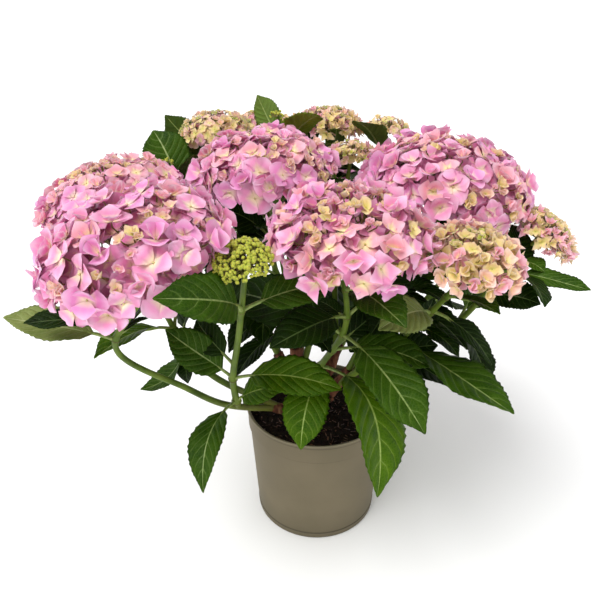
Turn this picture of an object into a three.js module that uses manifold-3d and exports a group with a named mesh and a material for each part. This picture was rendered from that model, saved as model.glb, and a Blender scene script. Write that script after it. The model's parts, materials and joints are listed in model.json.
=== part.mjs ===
// A mophead hydrangea in its nursery pot, about 60 cm tall and 66 cm across.
// Millimetres, +Z up. The origin is the centre of the pot's flat underside, +X is the
// right-hand side of the plant and -Y is the side that it is seen from.
import * as THREE from "three";
import { mergeVertices } from "three/addons/utils/BufferGeometryUtils.js";
import Module from "manifold-3d";

const wasm = await Module();
wasm.setup();

// Driving sizes of the pot and of what fills it.
const POT_HEIGHT = 187;
const RIM_RADIUS = 105;
const BASE_RADIUS = 91.5;
const POT_WALL = 2.4;
const POT_FLOOR = 4;
const COLLAR_DROP = 25;
const COLLAR_STEP = 1.2;
const LIP_DEPTH = 5;
const CORNER = 2.5;
const POT_SIDES = 28;
const COMPOST_LEVEL = 172;
const COMPOST_DIP = 5;
const COMPOST_FLAT = 0.75;

// Driving sizes of the plant.
const CLEARANCE = 0.3;
const SMOOTHING = 0.1;
const STOCK_FOOT = [-12, 0, COMPOST_LEVEL];
const STOCK_SUNK = 12;
const CROWN_HEIGHT = 30;
const CROWN_RADIUS = 15;
const ROOT_FLARE = 27;
const ARM_FOOT_RADIUS = 11.5;
const ARM_BOW = 9;
const ARM_SIDES = 6;
const ARM_STEPS = 2;
const CROWN_SIDES = 9;
const STEM_FOOT_RADIUS = 5;
const STEM_NECK_RADIUS = 2.8;
const STEM_SIDES = 5;
const LIMB_STEPS = 4;
const PATH_TENSION = 0.5;

// Driving sizes of a leaf. A share runs from 0 at the stem to 1 at the leaf's tip.
const PETIOLE_SHARE = 0.2;
const PETIOLE_RADIUS = 2.3;
const LEAF_LENGTH = 118;
const LEAF_WIDTH = 0.56;
const LEAF_ARCH = 0.13;
const LEAF_LIFT = 16;
const LEAF_SHORTENING = 0.3;
const LEAF_THICKNESS = 0.02;
const LEAF_FOLD = 0.16;
const LEAF_FACING = 0.75;
const BLADE_POWER_FOOT = 0.62;
const BLADE_POWER_TIP = 0.7;
const BLADE_PEAK = 2.49;
const BLADE_SHARES = [0, PETIOLE_SHARE, 0.46, 0.76, 1];
const TIP_WIDTH = 0.4;
const NUDGE_LENGTHS = [1, 0.85];
const NUDGE_ANGLES = [0, 8, -8, 16, -16, 24, -24];

// Driving sizes of a flower head. Its florets lie on a low dome and curl under its rim.
const HEAD_RISE = 0.65;
const HEAD_LEAN = 0.5;
const DOME_SHARE = 0.8;
const NECK_DROP = 0.42;
const LEAST_NECK = 16;
const STALK_SUNK = 0.3;
const STALK_SHARE = 0.2;
const LEAST_STALK = 4;
const RIM_ANGLE = 93;
const CORE_ANGLES = [85, 74, 52, 26];
const CORE_INSET = 11;
const CORE_INSET_SHARE = 0.3;
const FLORET_INSET = 5;
const FLORET_DEPTH = 22;
const FLORET_DEPTH_SHARE = 0.5;
const INNER_FLORET = 0.8;
const RIM_FLORET = 1.05;
const EYE_RADIUS = 1;
const DISH_SHARE = 0.35;
const GOLDEN_ANGLE = 137.508;
const WIDE_HEAD = 60;
const CORE_SIDES = 12;
const SMALL_CORE_SIDES = 7;
const HEAD_KINDS = {
  open: { size: 29, cover: 0.5, colour: 0xe39ccb },
  half: { size: 21, cover: 0.55, colour: 0xe2b3a4 },
  young: { size: 16, cover: 0.45, colour: 0xc9c27a },
  green: { size: 11, cover: 0.5, colour: 0xaab93b },
  tip: { size: 6, cover: 0, colour: 0xa8b548 },
};

// The woody arms that rise from the old stock: where each ends and how thick it is there.
const ARMS = {
  low_left: { tip: [-66, -38, 204], radius: 6.5 },
  left: { tip: [-58, 14, 262], radius: 7 },
  middle: { tip: [-32, -8, 286], radius: 8 },
  front: { tip: [-6, -50, 258], radius: 7 },
  right: { tip: [46, -20, 256], radius: 7.5 },
  back_right: { tip: [34, 40, 262], radius: 7 },
  back: { tip: [-30, 52, 262], radius: 7 },
};

const leaf = (share, tip, width = LEAF_WIDTH, arch = LEAF_ARCH, turn = 0) => (
  { share, tip, width, arch, turn }
);
const pair = (share, bearing) => ({ share, bearing });

// One entry for each shoot: the arm or shoot that carries it and at what share, the points
// that it leans through, how much of it is a bare bough, its flower head, the leaves that
// stand out in the outline, and the pairs of leaves that fill the crown.
const SHOOTS = [
  {
    name: "front_left", carrier: "low_left", share: 0.85, bare: 0.62,
    way: [[-121, -85, 242], [-165, -124, 297], [-223, -180, 386]],
    head: { kind: "open", at: [-180, -209, 509], radius: 94 },
    leaves: [
      leaf(0.8, [-323, -205, 440], 0.42, 0.1),
      leaf(0.8, [-196, -92, 404], 0.35, 0.05),
      leaf(0.88, [-292, -228, 446], 0.42, 0.06),
      leaf(0.86, [-262, -150, 450], 0.5, 0.1),
    ],
    pairs: [],
  },
  {
    name: "far_left", carrier: "low_left", share: 0.6, bare: 0.5,
    way: [[-125, -74, 270], [-158, -86, 315], [-186, -92, 378]],
    head: { kind: "open", at: [-243, -54, 506], radius: 85 },
    leaves: [
      leaf(0.62, [-226, -112, 286], 0.45, -0.2),
      leaf(0.62, [-150, -10, 380]),
    ],
    pairs: [pair(0.7, 60), pair(0.84, 0)],
  },
  {
    name: "middle", carrier: "middle", share: 0.9, bare: 0.3,
    way: [[-52, -2, 370], [-66, 2, 450]],
    head: { kind: "open", at: [-70, 5, 528], radius: 91 },
    leaves: [leaf(0.36, [11, -139, 357], 0.5), leaf(0.42, [-68, -143, 370])],
    pairs: [pair(0.42, 75), pair(0.55, 20), pair(0.72, 110), pair(0.88, 20)],
  },
  {
    name: "front", carrier: "front", share: 0.85, bare: 0.3,
    way: [[1, -87, 304], [27, -134, 388]],
    head: { kind: "open", at: [22, -174, 509], radius: 83 },
    leaves: [
      leaf(0.62, [105, -245, 324], 0.56, 0.12),
      leaf(0.62, [-108, -101, 419]),
      leaf(0.345, [62, -235, 226], 0.6, 0.28, -28),
      leaf(0.345, [-24, -176, 244], 0.62, 0.2),
    ],
    pairs: [pair(0.5, 165), pair(0.74, 40), pair(0.9, 120)],
  },
  {
    name: "right", carrier: "right", share: 0.9, bare: 0.3,
    way: [[78, -30, 345], [118, -30, 430]],
    head: { kind: "open", at: [158, -2, 509], radius: 108 },
    leaves: [leaf(0.36, [56, -138, 380]), leaf(0.4, [122, -160, 358])],
    pairs: [pair(0.5, 30), pair(0.62, 95), pair(0.74, 150), pair(0.88, 50)],
  },
  {
    name: "right_front", carrier: "right", share: 0.6, bare: 0.35,
    way: [[84, -62, 310], [122, -120, 395]],
    head: { kind: "half", at: [149, -168, 484], radius: 54 },
    leaves: [
      leaf(0.45, [204, -219, 330], 0.42, 0.1),
      leaf(0.45, [60, -170, 330]),
      leaf(0.7, [55, -205, 425]),
      leaf(0.72, [190, -170, 360]),
      leaf(0.85, [176, -206, 444], 0.5, 0.08),
    ],
    pairs: [],
  },
  {
    name: "far_right", carrier: "right", share: 0.75, bare: 0.45,
    way: [[110, -52, 310], [168, -72, 355], [214, -80, 425]],
    head: { kind: "half", at: [268, -48, 468], radius: 43, lean: 1.2 },
    leaves: [
      leaf(0.8, [306, -122, 430], 0.3, 0.06),
      leaf(0.8, [240, -160, 428]),
      leaf(0.88, [261, -96, 441]),
      leaf(0.5, [156, -157, 320]),
      leaf(0.52, [218, 21, 387]),
    ],
    pairs: [],
  },
  {
    name: "back_left", carrier: "back", share: 0.85, bare: 0.4,
    way: [[-84, 84, 360], [-120, 118, 460]],
    head: { kind: "young", at: [-146, 142, 548], radius: 50 },
    leaves: [leaf(0.86, [-216, 140, 578], 0.6, 0.08, 70), leaf(0.86, [-70, 110, 500])],
    pairs: [pair(0.5, 0), pair(0.7, 90)],
  },
  {
    name: "back_left_inner", carrier: "back", share: 0.7, bare: 0.4,
    way: [[-50, 96, 360], [-72, 160, 470]],
    head: { kind: "young", at: [-84, 205, 544], radius: 42 },
    leaves: [],
    pairs: [pair(0.5, 45), pair(0.7, 135), pair(0.86, 45)],
  },
  {
    name: "back", carrier: "back_right", share: 0.9, bare: 0.4,
    way: [[26, 80, 370], [28, 130, 470]],
    head: { kind: "half", at: [15, 165, 552], radius: 51 },
    leaves: [leaf(0.9, [31, 110, 565]), leaf(0.9, [90, 190, 520])],
    pairs: [pair(0.5, 0), pair(0.7, 90)],
  },
  {
    name: "back_right_inner", carrier: "back_right", share: 0.7, bare: 0.4,
    way: [[66, 80, 370], [90, 130, 470]],
    head: { kind: "young", at: [102, 166, 548], radius: 30 },
    leaves: [],
    pairs: [pair(0.5, 45), pair(0.7, 135), pair(0.88, 45)],
  },
  {
    name: "inner", carrier: "middle", share: 0.6, bare: 0.45,
    way: [[10, 20, 370], [32, 52, 460]],
    head: { kind: "young", at: [42, 68, 536], radius: 29 },
    leaves: [],
    pairs: [pair(0.55, 60), pair(0.78, 150)],
  },
  {
    name: "front_bud", carrier: "front_left", share: 0.2, bare: 0,
    way: [[-108, -114, 305], [-91, -173, 400]],
    head: { kind: "green", at: [-77, -230, 511], radius: 28 },
    leaves: [
      leaf(0.82, [-158, -244, 485], 0.66, 0.14),
      leaf(0.82, [8, -170, 460]),
      leaf(0.33, [-183, -122, 379]),
      leaf(0.33, [24, -166, 324], 0.42, 0.15),
      leaf(0.07, [-41, -119, 295]),
      leaf(0.07, [-140, -202, 200], 0.3, 0.22),
    ],
    pairs: [],
  },
  {
    name: "top_sprig", carrier: "middle", share: 0.8, bare: 0.4,
    way: [[-40, 50, 400], [-52, 90, 500]],
    head: { kind: "tip", at: [-57, 122, 580], radius: 10 },
    leaves: [leaf(0.9, [-80, 152, 604], 0.66, 0.08, 60), leaf(0.9, [-16, 112, 586], 0.6, 0.1)],
    pairs: [pair(0.6, 30), pair(0.8, 120)],
  },
  {
    name: "left_sprig", carrier: "left", share: 0.9, bare: 0.4,
    way: [[-105, 40, 350], [-160, 60, 450]],
    head: { kind: "tip", at: [-200, 50, 532], radius: 10 },
    leaves: [leaf(0.86, [-221, 82, 568], 0.7, 0.08, 80), leaf(0.86, [-160, 30, 548], 0.6, 0.08)],
    pairs: [pair(0.48, 75), pair(0.62, 160), pair(0.75, 120)],
  },
  {
    name: "rear_left", carrier: "left", share: 0.7, bare: 0.42,
    way: [[-92, 66, 320], [-142, 140, 385]],
    head: { kind: "open", at: [-175, 190, 440], radius: 80 },
    leaves: [],
    pairs: [pair(0.5, 30), pair(0.7, 120), pair(0.88, 30)],
  },
  {
    name: "rear", carrier: "back", share: 0.55, bare: 0.4,
    way: [[-26, 130, 325], [-15, 210, 385]],
    head: { kind: "open", at: [-10, 280, 446], radius: 83 },
    leaves: [],
    pairs: [pair(0.48, 60), pair(0.66, 150), pair(0.84, 60)],
  },
  {
    name: "rear_right", carrier: "back_right", share: 0.5, bare: 0.42,
    way: [[80, 85, 330], [122, 150, 395]],
    head: { kind: "open", at: [150, 205, 455], radius: 79 },
    leaves: [],
    pairs: [pair(0.5, 60), pair(0.7, 150), pair(0.88, 60)],
  },
  {
    name: "side_right", carrier: "right", share: 0.45, bare: 0.42,
    way: [[110, 10, 300], [175, 50, 355]],
    head: { kind: "half", at: [222, 80, 428], radius: 52 },
    leaves: [],
    pairs: [pair(0.5, 60), pair(0.7, 150), pair(0.88, 60)],
  },
];

const COLOURS = { pot: 0x7d7664, compost: 0x1b1410, wood: 0x70472f, stem: 0x6f8737, leaf: 0x3f6b2c };

// Small lengths, in millimetres and as a share of a curve, for merging corners and for slopes.
const MERGE_DISTANCE = 1e-4;
const SLOPE_STEP = 1e-3;

const UP = new THREE.Vector3(0, 0, 1);
const LIMB_SIDE = new THREE.Vector3(1, 0.3, 0.2);
const vector = (place) => new THREE.Vector3(...place);
const radians = THREE.MathUtils.degToRad;

// Solids: a closed geometry becomes one that can be joined and cut, and the other way round.
function solidOf(geometry) {
  geometry.deleteAttribute("normal");
  geometry.deleteAttribute("uv");
  const merged = mergeVertices(geometry, MERGE_DISTANCE);
  const vertProperties = new Float32Array(merged.attributes.position.array);
  const triVerts = new Uint32Array(merged.index.array);
  return new wasm.Manifold(new wasm.Mesh({ numProp: 3, vertProperties, triVerts }));
}

function largestPiece(solid) {
  const pieces = solid.decompose();
  return pieces.reduce((best, piece) => (piece.volume() > best.volume() ? piece : best));
}

function fused(solids) {
  return largestPiece(solids.reduce((whole, solid) => whole.add(solid))).simplify(SMOOTHING);
}

function meshOf(name, solid, colour) {
  const { vertProperties, triVerts } = solid.getMesh();
  const geometry = new THREE.BufferGeometry();
  const places = new THREE.BufferAttribute(new Float32Array(vertProperties), 3);
  geometry.setAttribute("position", places);
  geometry.setIndex(new THREE.BufferAttribute(new Uint32Array(triVerts), 1));
  geometry.computeVertexNormals();
  const material = new THREE.MeshStandardMaterial({ color: colour, roughness: 0.7, metalness: 0 });
  const mesh = new THREE.Mesh(geometry, material);
  mesh.name = name;
  return mesh;
}

// A clear distance of CLEARANCE, tested only where the two solids' boxes come near.
function isClear(solid, other) {
  const a = solid.boundingBox();
  const b = other.boundingBox();
  const apart = [0, 1, 2].some((axis) => (
    Math.max(a.min[axis] - b.max[axis], b.min[axis] - a.max[axis]) > CLEARANCE
  ));
  return apart || solid.minGap(other, 2 * CLEARANCE) >= CLEARANCE;
}

// The pot and its compost are turned profiles.
const wallRadius = (z) => THREE.MathUtils.lerp(BASE_RADIUS, RIM_RADIUS, z / POT_HEIGHT);

function turned(profile, sides) {
  const points = profile.map(([radius, height]) => new THREE.Vector2(radius, height));
  return new THREE.LatheGeometry(points, sides).rotateX(Math.PI / 2);
}

function potSolid() {
  const collar = POT_HEIGHT - COLLAR_DROP;
  const inner = (z) => wallRadius(z) - POT_WALL - COLLAR_STEP;
  return solidOf(turned([
    [0, 0],
    [BASE_RADIUS - CORNER, 0],
    [BASE_RADIUS, CORNER],
    [wallRadius(collar - COLLAR_STEP) - COLLAR_STEP, collar - COLLAR_STEP],
    [wallRadius(collar), collar],
    [wallRadius(POT_HEIGHT - LIP_DEPTH) - COLLAR_STEP, POT_HEIGHT - LIP_DEPTH],
    [RIM_RADIUS, POT_HEIGHT - LIP_DEPTH + 1],
    [RIM_RADIUS, POT_HEIGHT - 1],
    [RIM_RADIUS - 1, POT_HEIGHT],
    [inner(POT_HEIGHT), POT_HEIGHT],
    [inner(POT_FLOOR), POT_FLOOR],
    [0, POT_FLOOR],
  ], POT_SIDES));
}

function compostSolid() {
  const reach = (z) => wallRadius(z) - POT_WALL - COLLAR_STEP - CLEARANCE;
  const bottom = POT_FLOOR + CLEARANCE;
  return solidOf(turned([
    [0, bottom],
    [reach(bottom), bottom],
    [reach(COMPOST_LEVEL - COMPOST_DIP), COMPOST_LEVEL - COMPOST_DIP],
    [COMPOST_FLAT * RIM_RADIUS, COMPOST_LEVEL],
    [0, COMPOST_LEVEL],
  ], POT_SIDES));
}

// A limb is a cylinder bent along a stretch of a curve, with its own radius at each share.
function limb(curve, radiusAt, from = 0, to = 1, steps = LIMB_STEPS, sides = STEM_SIDES) {
  const rows = [];
  const side = LIMB_SIDE.clone();
  for (let row = 0; row <= steps; row += 1) {
    const share = THREE.MathUtils.lerp(from, to, row / steps);
    const along = curve.getTangent(share);
    side.addScaledVector(along, -side.dot(along)).normalize();
    rows.push({
      at: curve.getPoint(share),
      radius: radiusAt(share),
      across: side.clone(),
      up: side.clone().cross(along),
    });
  }
  const geometry = new THREE.CylinderGeometry(1, 1, 1, sides, steps);
  const place = geometry.attributes.position;
  for (let i = 0; i < place.count; i += 1) {
    const { at, radius, across, up } = rows[Math.round((place.getY(i) + 0.5) * steps)];
    const moved = at.clone()
      .addScaledVector(across, place.getX(i) * radius)
      .addScaledVector(up, place.getZ(i) * radius);
    place.setXYZ(i, moved.x, moved.y, moved.z);
  }
  return solidOf(geometry);
}

// The woody stock: a flared crown and its arms, cut flat where it meets the compost.
function armCurve(arm) {
  const foot = vector(STOCK_FOOT);
  const tip = vector(ARMS[arm].tip);
  const bow = foot.clone().lerp(tip, 0.5).addScaledVector(UP, -ARM_BOW);
  return new THREE.QuadraticBezierCurve3(foot, bow, tip);
}

function stockSolid(swelling) {
  const flare = (share) => THREE.MathUtils.lerp(ROOT_FLARE, CROWN_RADIUS, Math.sqrt(share)) + swelling;
  const foot = vector(STOCK_FOOT);
  const below = foot.clone().addScaledVector(UP, -STOCK_SUNK);
  const above = foot.clone().addScaledVector(UP, CROWN_HEIGHT);
  const crown = limb(new THREE.LineCurve3(below, above), flare, 0, 1, ARM_STEPS, CROWN_SIDES);
  const arms = Object.keys(ARMS).map((arm) => {
    const taper = (share) => THREE.MathUtils.lerp(ARM_FOOT_RADIUS, ARMS[arm].radius, share) + swelling;
    return limb(armCurve(arm), taper, 0, 1, ARM_STEPS, ARM_SIDES);
  });
  const whole = arms.reduce((joined, arm) => joined.add(arm), crown);
  return largestPiece(whole.trimByPlane([0, 0, 1], COMPOST_LEVEL + CLEARANCE - swelling));
}

// A shoot's path runs from its carrier through its way points to the neck of its head.
function headAxis({ at, lean = HEAD_LEAN }) {
  return new THREE.Vector3(at[0] * lean, at[1] * lean, at[2]).normalize();
}

function neckOf(head) {
  return vector(head.at).addScaledVector(headAxis(head), -Math.max(LEAST_NECK, NECK_DROP * head.radius));
}

function pathOf(shoot) {
  const onArm = shoot.carrier in ARMS;
  const carrier = SHOOTS.find(({ name }) => name === shoot.carrier);
  const foot = (onArm ? armCurve(shoot.carrier) : pathOf(carrier)).getPoint(shoot.share);
  const points = [foot, ...shoot.way.map(vector), neckOf(shoot.head)];
  return new THREE.CatmullRomCurve3(points, false, "catmullrom", PATH_TENSION);
}

const stemRadius = (share) => THREE.MathUtils.lerp(STEM_FOOT_RADIUS, STEM_NECK_RADIUS, share);

function shareAfter(curve, share, distance) {
  const stepLength = curve.getPoint(share).distanceTo(curve.getPoint(share + SLOPE_STEP));
  return share + (SLOPE_STEP * distance) / stepLength;
}

// A leaf: a petiole and a pointed blade in one sweep, folded along its midrib and arched.
function bladeWidth(share) {
  const blade = (share - PETIOLE_SHARE) / (1 - PETIOLE_SHARE);
  if (blade <= 0 || blade >= 1) return 0;
  return BLADE_PEAK * blade ** BLADE_POWER_FOOT * (1 - blade) ** BLADE_POWER_TIP;
}

function leafSolid(root, { tip, width, arch, turn }) {
  const along = tip.clone().sub(root);
  const length = along.length();
  along.normalize();
  const outward = new THREE.Vector3(tip.x, tip.y, 0).normalize();
  const face = UP.clone().addScaledVector(outward, LEAF_FACING);
  face.addScaledVector(along, -face.dot(along)).normalize().applyAxisAngle(along, radians(turn));
  const across = along.clone().cross(face);
  const halfBlade = (width * length * (1 - PETIOLE_SHARE)) / 2;
  const rows = BLADE_SHARES.map((share) => {
    const blade = halfBlade * bladeWidth(share);
    const onPetiole = share <= PETIOLE_SHARE;
    const bladeThick = share < 1 ? (LEAF_THICKNESS * length) / 2 : TIP_WIDTH;
    const arched = arch * length * 4 * share * (1 - share);
    return {
      at: root.clone().addScaledVector(along, share * length).addScaledVector(face, arched),
      half: Math.max(blade, onPetiole ? PETIOLE_RADIUS : TIP_WIDTH),
      thick: onPetiole ? PETIOLE_RADIUS : bladeThick,
      fold: blade * LEAF_FOLD,
    };
  });
  const steps = rows.length - 1;
  const geometry = new THREE.CylinderGeometry(1, 1, 1, 4, steps);
  const place = geometry.attributes.position;
  for (let i = 0; i < place.count; i += 1) {
    const { at, half, thick, fold } = rows[Math.round((place.getY(i) + 0.5) * steps)];
    const x = place.getX(i);
    const lift = place.getZ(i) * thick + Math.abs(x) * fold;
    const moved = at.clone().addScaledVector(across, x * half).addScaledVector(face, lift);
    place.setXYZ(i, moved.x, moved.y, moved.z);
  }
  return solidOf(geometry);
}

// The leaves of a shoot, first those of its outline and then its opposite pairs.
function leavesOf(shoot, curve) {
  const listed = shoot.leaves.map((one) => ({ ...one, tip: vector(one.tip) }));
  const paired = shoot.pairs.flatMap(({ share, bearing }) => [0, 180].map((side) => {
    const along = curve.getTangent(share);
    const angle = radians(bearing + side);
    const out = new THREE.Vector3(Math.cos(angle), Math.sin(angle), 0);
    out.addScaledVector(along, -out.dot(along)).normalize();
    const length = LEAF_LENGTH * (1 - LEAF_SHORTENING * (share - 0.5));
    const tip = curve.getPoint(share)
      .addScaledVector(out, length * Math.cos(radians(LEAF_LIFT)))
      .addScaledVector(along, length * Math.sin(radians(LEAF_LIFT)));
    return { share, tip, width: LEAF_WIDTH, arch: LEAF_ARCH, turn: 0 };
  }));
  return { listed, paired };
}

// Where a leaf would touch its neighbours it is turned a little about its root, or skipped.
const NUDGES = NUDGE_LENGTHS.flatMap((length) => NUDGE_ANGLES.flatMap((pitch) => (
  NUDGE_ANGLES.map((bearing) => ({ length, pitch, bearing })))));

function seatedLeaf(root, one, others) {
  for (const { length, pitch, bearing } of NUDGES) {
    const reach = one.tip.clone().sub(root).multiplyScalar(length).applyAxisAngle(UP, radians(bearing));
    const across = reach.clone().cross(UP).normalize();
    reach.applyAxisAngle(across, radians(pitch));
    const solid = leafSolid(root, { ...one, tip: root.clone().add(reach) });
    if (others.every((other) => isClear(solid, other))) return solid;
  }
  return null;
}

// A flower head: a stalk that widens into a domed core, set with four-cornered florets.
function domePoint(head, polar, bearing, inset) {
  const axis = headAxis(head);
  const across = new THREE.Vector3(1, 0, 0).addScaledVector(axis, -axis.x).normalize();
  const over = axis.clone().cross(across);
  const reach = (head.radius - inset) * Math.sin(polar);
  return vector(head.at)
    .addScaledVector(axis, (HEAD_RISE * head.radius - inset) * Math.cos(polar))
    .addScaledVector(across, reach * Math.cos(bearing))
    .addScaledVector(over, reach * Math.sin(bearing));
}

function domeNormal(head, polar, bearing) {
  const at = domePoint(head, polar, bearing, 0);
  const down = domePoint(head, polar + SLOPE_STEP, bearing, 0).sub(at);
  const round = domePoint(head, polar, bearing + SLOPE_STEP, 0).sub(at);
  return down.cross(round).normalize();
}

function coreSolid(head) {
  const inset = Math.min(CORE_INSET, CORE_INSET_SHARE * head.radius);
  const rise = HEAD_RISE * head.radius - inset;
  const reach = head.radius - inset;
  const rows = CORE_ANGLES.map(radians);
  const profile = [
    [0, rise * Math.cos(rows[0])],
    ...rows.map((polar) => [reach * Math.sin(polar), rise * Math.cos(polar)]),
    [0, rise],
  ];
  const geometry = turned(profile, head.radius > WIDE_HEAD ? CORE_SIDES : SMALL_CORE_SIDES);
  const turn = new THREE.Quaternion().setFromUnitVectors(UP, headAxis(head));
  geometry.applyQuaternion(turn).translate(...head.at);
  return solidOf(geometry);
}

// A floret of four broad sepals: a four-sided cone whose face is dished towards its eye.
function dishedCone(reach, depth) {
  const geometry = new THREE.ConeGeometry(reach, depth, 4);
  const place = geometry.attributes.position;
  for (let i = 0; i < place.count; i += 1) {
    const isEye = place.getY(i) < 0 && Math.hypot(place.getX(i), place.getZ(i)) < EYE_RADIUS;
    if (isEye) place.setY(i, place.getY(i) + DISH_SHARE * depth);
  }
  return geometry;
}

function floretSolids(head) {
  const { size, cover } = HEAD_KINDS[head.kind];
  const domeArea = 2 * Math.PI * head.radius ** 2 * DOME_SHARE;
  const count = Math.round((cover * domeArea) / (2 * size ** 2));
  const florets = [];
  for (let i = 0; i < count; i += 1) {
    const rim = radians(RIM_ANGLE);
    const polar = Math.acos(1 - ((i + 0.5) / count) * (1 - Math.cos(rim)));
    const bearing = radians(i * GOLDEN_ANGLE);
    const outward = domeNormal(head, polar, bearing);
    const grown = size * THREE.MathUtils.lerp(INNER_FLORET, RIM_FLORET, polar / rim);
    const depth = Math.min(FLORET_DEPTH, FLORET_DEPTH_SHARE * head.radius);
    const geometry = dishedCone(grown, depth).rotateY(i).rotateX(-Math.PI / 2);
    const turn = new THREE.Quaternion().setFromUnitVectors(UP, outward);
    const seat = domePoint(head, polar, bearing, FLORET_INSET);
    const at = seat.addScaledVector(outward, FLORET_INSET - depth / 2);
    geometry.applyQuaternion(turn).translate(at.x, at.y, at.z);
    florets.push(solidOf(geometry));
  }
  return florets;
}

function stalkSolid(head) {
  const neck = neckOf(head).addScaledVector(headAxis(head), CLEARANCE);
  const top = vector(head.at).addScaledVector(headAxis(head), STALK_SUNK * head.radius);
  const topRadius = Math.max(LEAST_STALK, STALK_SHARE * head.radius);
  const widening = (share) => THREE.MathUtils.lerp(STEM_NECK_RADIUS, topRadius, share);
  return limb(new THREE.LineCurve3(neck, top), widening, 0, 1, ARM_STEPS, ARM_SIDES);
}

// Building: the fixed pieces come first, then stems and heads, and the leaves find room last.
const nodes = [];
const addNode = (name, solid, colour) => nodes.push({ name, solid, colour });

addNode("pot", potSolid(), COLOURS.pot);
addNode("compost", compostSolid(), COLOURS.compost);
addNode("woody_stock", stockSolid(0), COLOURS.wood);

const shoots = SHOOTS.map((shoot) => ({ ...shoot, curve: pathOf(shoot) }));

// Each limb is cut at its foot by what it rises from, and by the limbs that crowd it there.
const cutters = [stockSolid(CLEARANCE)];
const cutClear = (solid) => cutters.reduce((left, cutter) => largestPiece(left.subtract(cutter)), solid);

for (const { name, curve, bare } of shoots) {
  if (bare > 0) {
    addNode(`bough_${name}`, cutClear(limb(curve, stemRadius, 0, bare)), COLOURS.stem);
    cutters.push(limb(curve, (share) => stemRadius(share) + CLEARANCE, 0, bare));
  }
}

for (const shoot of shoots) {
  const { curve, bare, head } = shoot;
  const fromBough = bare > 0;
  const below = headAxis(head).negate();
  const stem = limb(curve, stemRadius, fromBough ? shareAfter(curve, bare, CLEARANCE) : 0)
    .trimByPlane(below.toArray(), below.dot(neckOf(head)));
  shoot.parts = [fromBough ? stem : cutClear(stem)];
}

for (const shoot of shoots) shoot.body = coreSolid(shoot.head).add(stalkSolid(shoot.head));

for (const shoot of shoots) {
  const { name, body, head } = shoot;
  const placed = nodes.map(({ solid }) => solid);
  const stems = shoots.map(({ parts }) => parts[0]);
  const neighbours = shoots.filter((other) => other !== shoot).map((other) => other.body);
  const others = [...placed, ...stems, ...neighbours];
  const hasRoom = (floret) => others.every((other) => isClear(floret, other));
  addNode(`head_${name}`, fused([body, ...floretSolids(head).filter(hasRoom)]), HEAD_KINDS[head.kind].colour);
}

for (const group of ["listed", "paired"]) {
  for (const shoot of shoots) {
    for (const one of leavesOf(shoot, shoot.curve)[group]) {
      const neighbours = shoots.filter((other) => other !== shoot).flatMap(({ parts }) => parts);
      const others = [...nodes.map(({ solid }) => solid), ...neighbours];
      const solid = seatedLeaf(shoot.curve.getPoint(one.share), one, others);
      if (solid) shoot.parts.push(solid);
    }
  }
}

for (const { name, parts } of shoots) addNode(`spray_${name}`, fused(parts), COLOURS.leaf);

const group = new THREE.Group();
for (const { name, solid, colour } of nodes) group.add(meshOf(name, solid, colour));

export default group;
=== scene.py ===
# %% [markdown]
# # A potted mophead hydrangea
# The imported solids give this shrub its sizes: a nursery pot, its compost, a woody stock, eighteen
# green boughs, nineteen flower heads and nineteen sprays of leaves. Blender dresses them. Stems,
# leaves and florets are worked out again from the same short table that the solids come from, only
# finer. A few small leaves are added one by one where the photograph is dark between the stems.

# %% Loading the solids
import json
import math
import random
from collections import namedtuple
from functools import partial

import bmesh
import bpy
import numpy as np
from mathutils import Euler, Matrix, Quaternion, Vector, noise
from mathutils.kdtree import KDTree

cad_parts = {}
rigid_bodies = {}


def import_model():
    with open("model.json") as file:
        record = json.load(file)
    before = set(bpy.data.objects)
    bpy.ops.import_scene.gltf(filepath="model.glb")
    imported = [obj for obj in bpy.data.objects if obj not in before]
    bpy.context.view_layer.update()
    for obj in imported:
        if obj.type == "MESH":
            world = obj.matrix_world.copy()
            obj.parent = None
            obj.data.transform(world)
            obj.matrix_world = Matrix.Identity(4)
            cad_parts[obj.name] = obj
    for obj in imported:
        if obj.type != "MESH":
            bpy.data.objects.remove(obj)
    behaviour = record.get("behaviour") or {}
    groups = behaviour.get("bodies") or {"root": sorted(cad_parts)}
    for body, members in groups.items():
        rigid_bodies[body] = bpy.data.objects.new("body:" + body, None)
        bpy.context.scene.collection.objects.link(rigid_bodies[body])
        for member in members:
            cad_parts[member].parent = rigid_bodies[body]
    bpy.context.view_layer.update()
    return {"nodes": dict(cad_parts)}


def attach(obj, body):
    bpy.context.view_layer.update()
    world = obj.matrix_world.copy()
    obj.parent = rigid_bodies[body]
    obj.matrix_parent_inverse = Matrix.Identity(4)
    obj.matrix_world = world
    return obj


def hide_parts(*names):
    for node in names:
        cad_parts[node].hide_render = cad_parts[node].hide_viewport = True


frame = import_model()
MM = 0.001

# %% [markdown]
# ## The camera
# The rim and the base of the pot are circles that the photograph shows as ellipses. How flat they
# are gives the pitch of the camera, and how much they shrink towards the base gives its distance.
# The focal length is written in pixels of the square photograph and turned into millimetres.

# %% Camera
PHOTO_SIDE = 603
FOCAL_PIXELS = 600
SENSOR_WIDTH = 36
CAMERA_PLACE = Vector((-23, -735, 728)) * MM
CAMERA_PITCH = 27


def placed(name, data):
    """A new object of the scene, at the origin."""
    made = bpy.data.objects.new(name, data)
    bpy.context.scene.collection.objects.link(made)
    return made


lens = bpy.data.cameras.new("photo_lens")
lens.sensor_width = SENSOR_WIDTH
lens.lens = SENSOR_WIDTH * FOCAL_PIXELS / PHOTO_SIDE
camera = placed("photo_camera", lens)
camera.location = CAMERA_PLACE
camera.rotation_euler = (math.radians(90 - CAMERA_PITCH), 0, 0)
bpy.context.scene.camera = camera
print("lens in millimetres:", round(lens.lens, 2))

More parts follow.
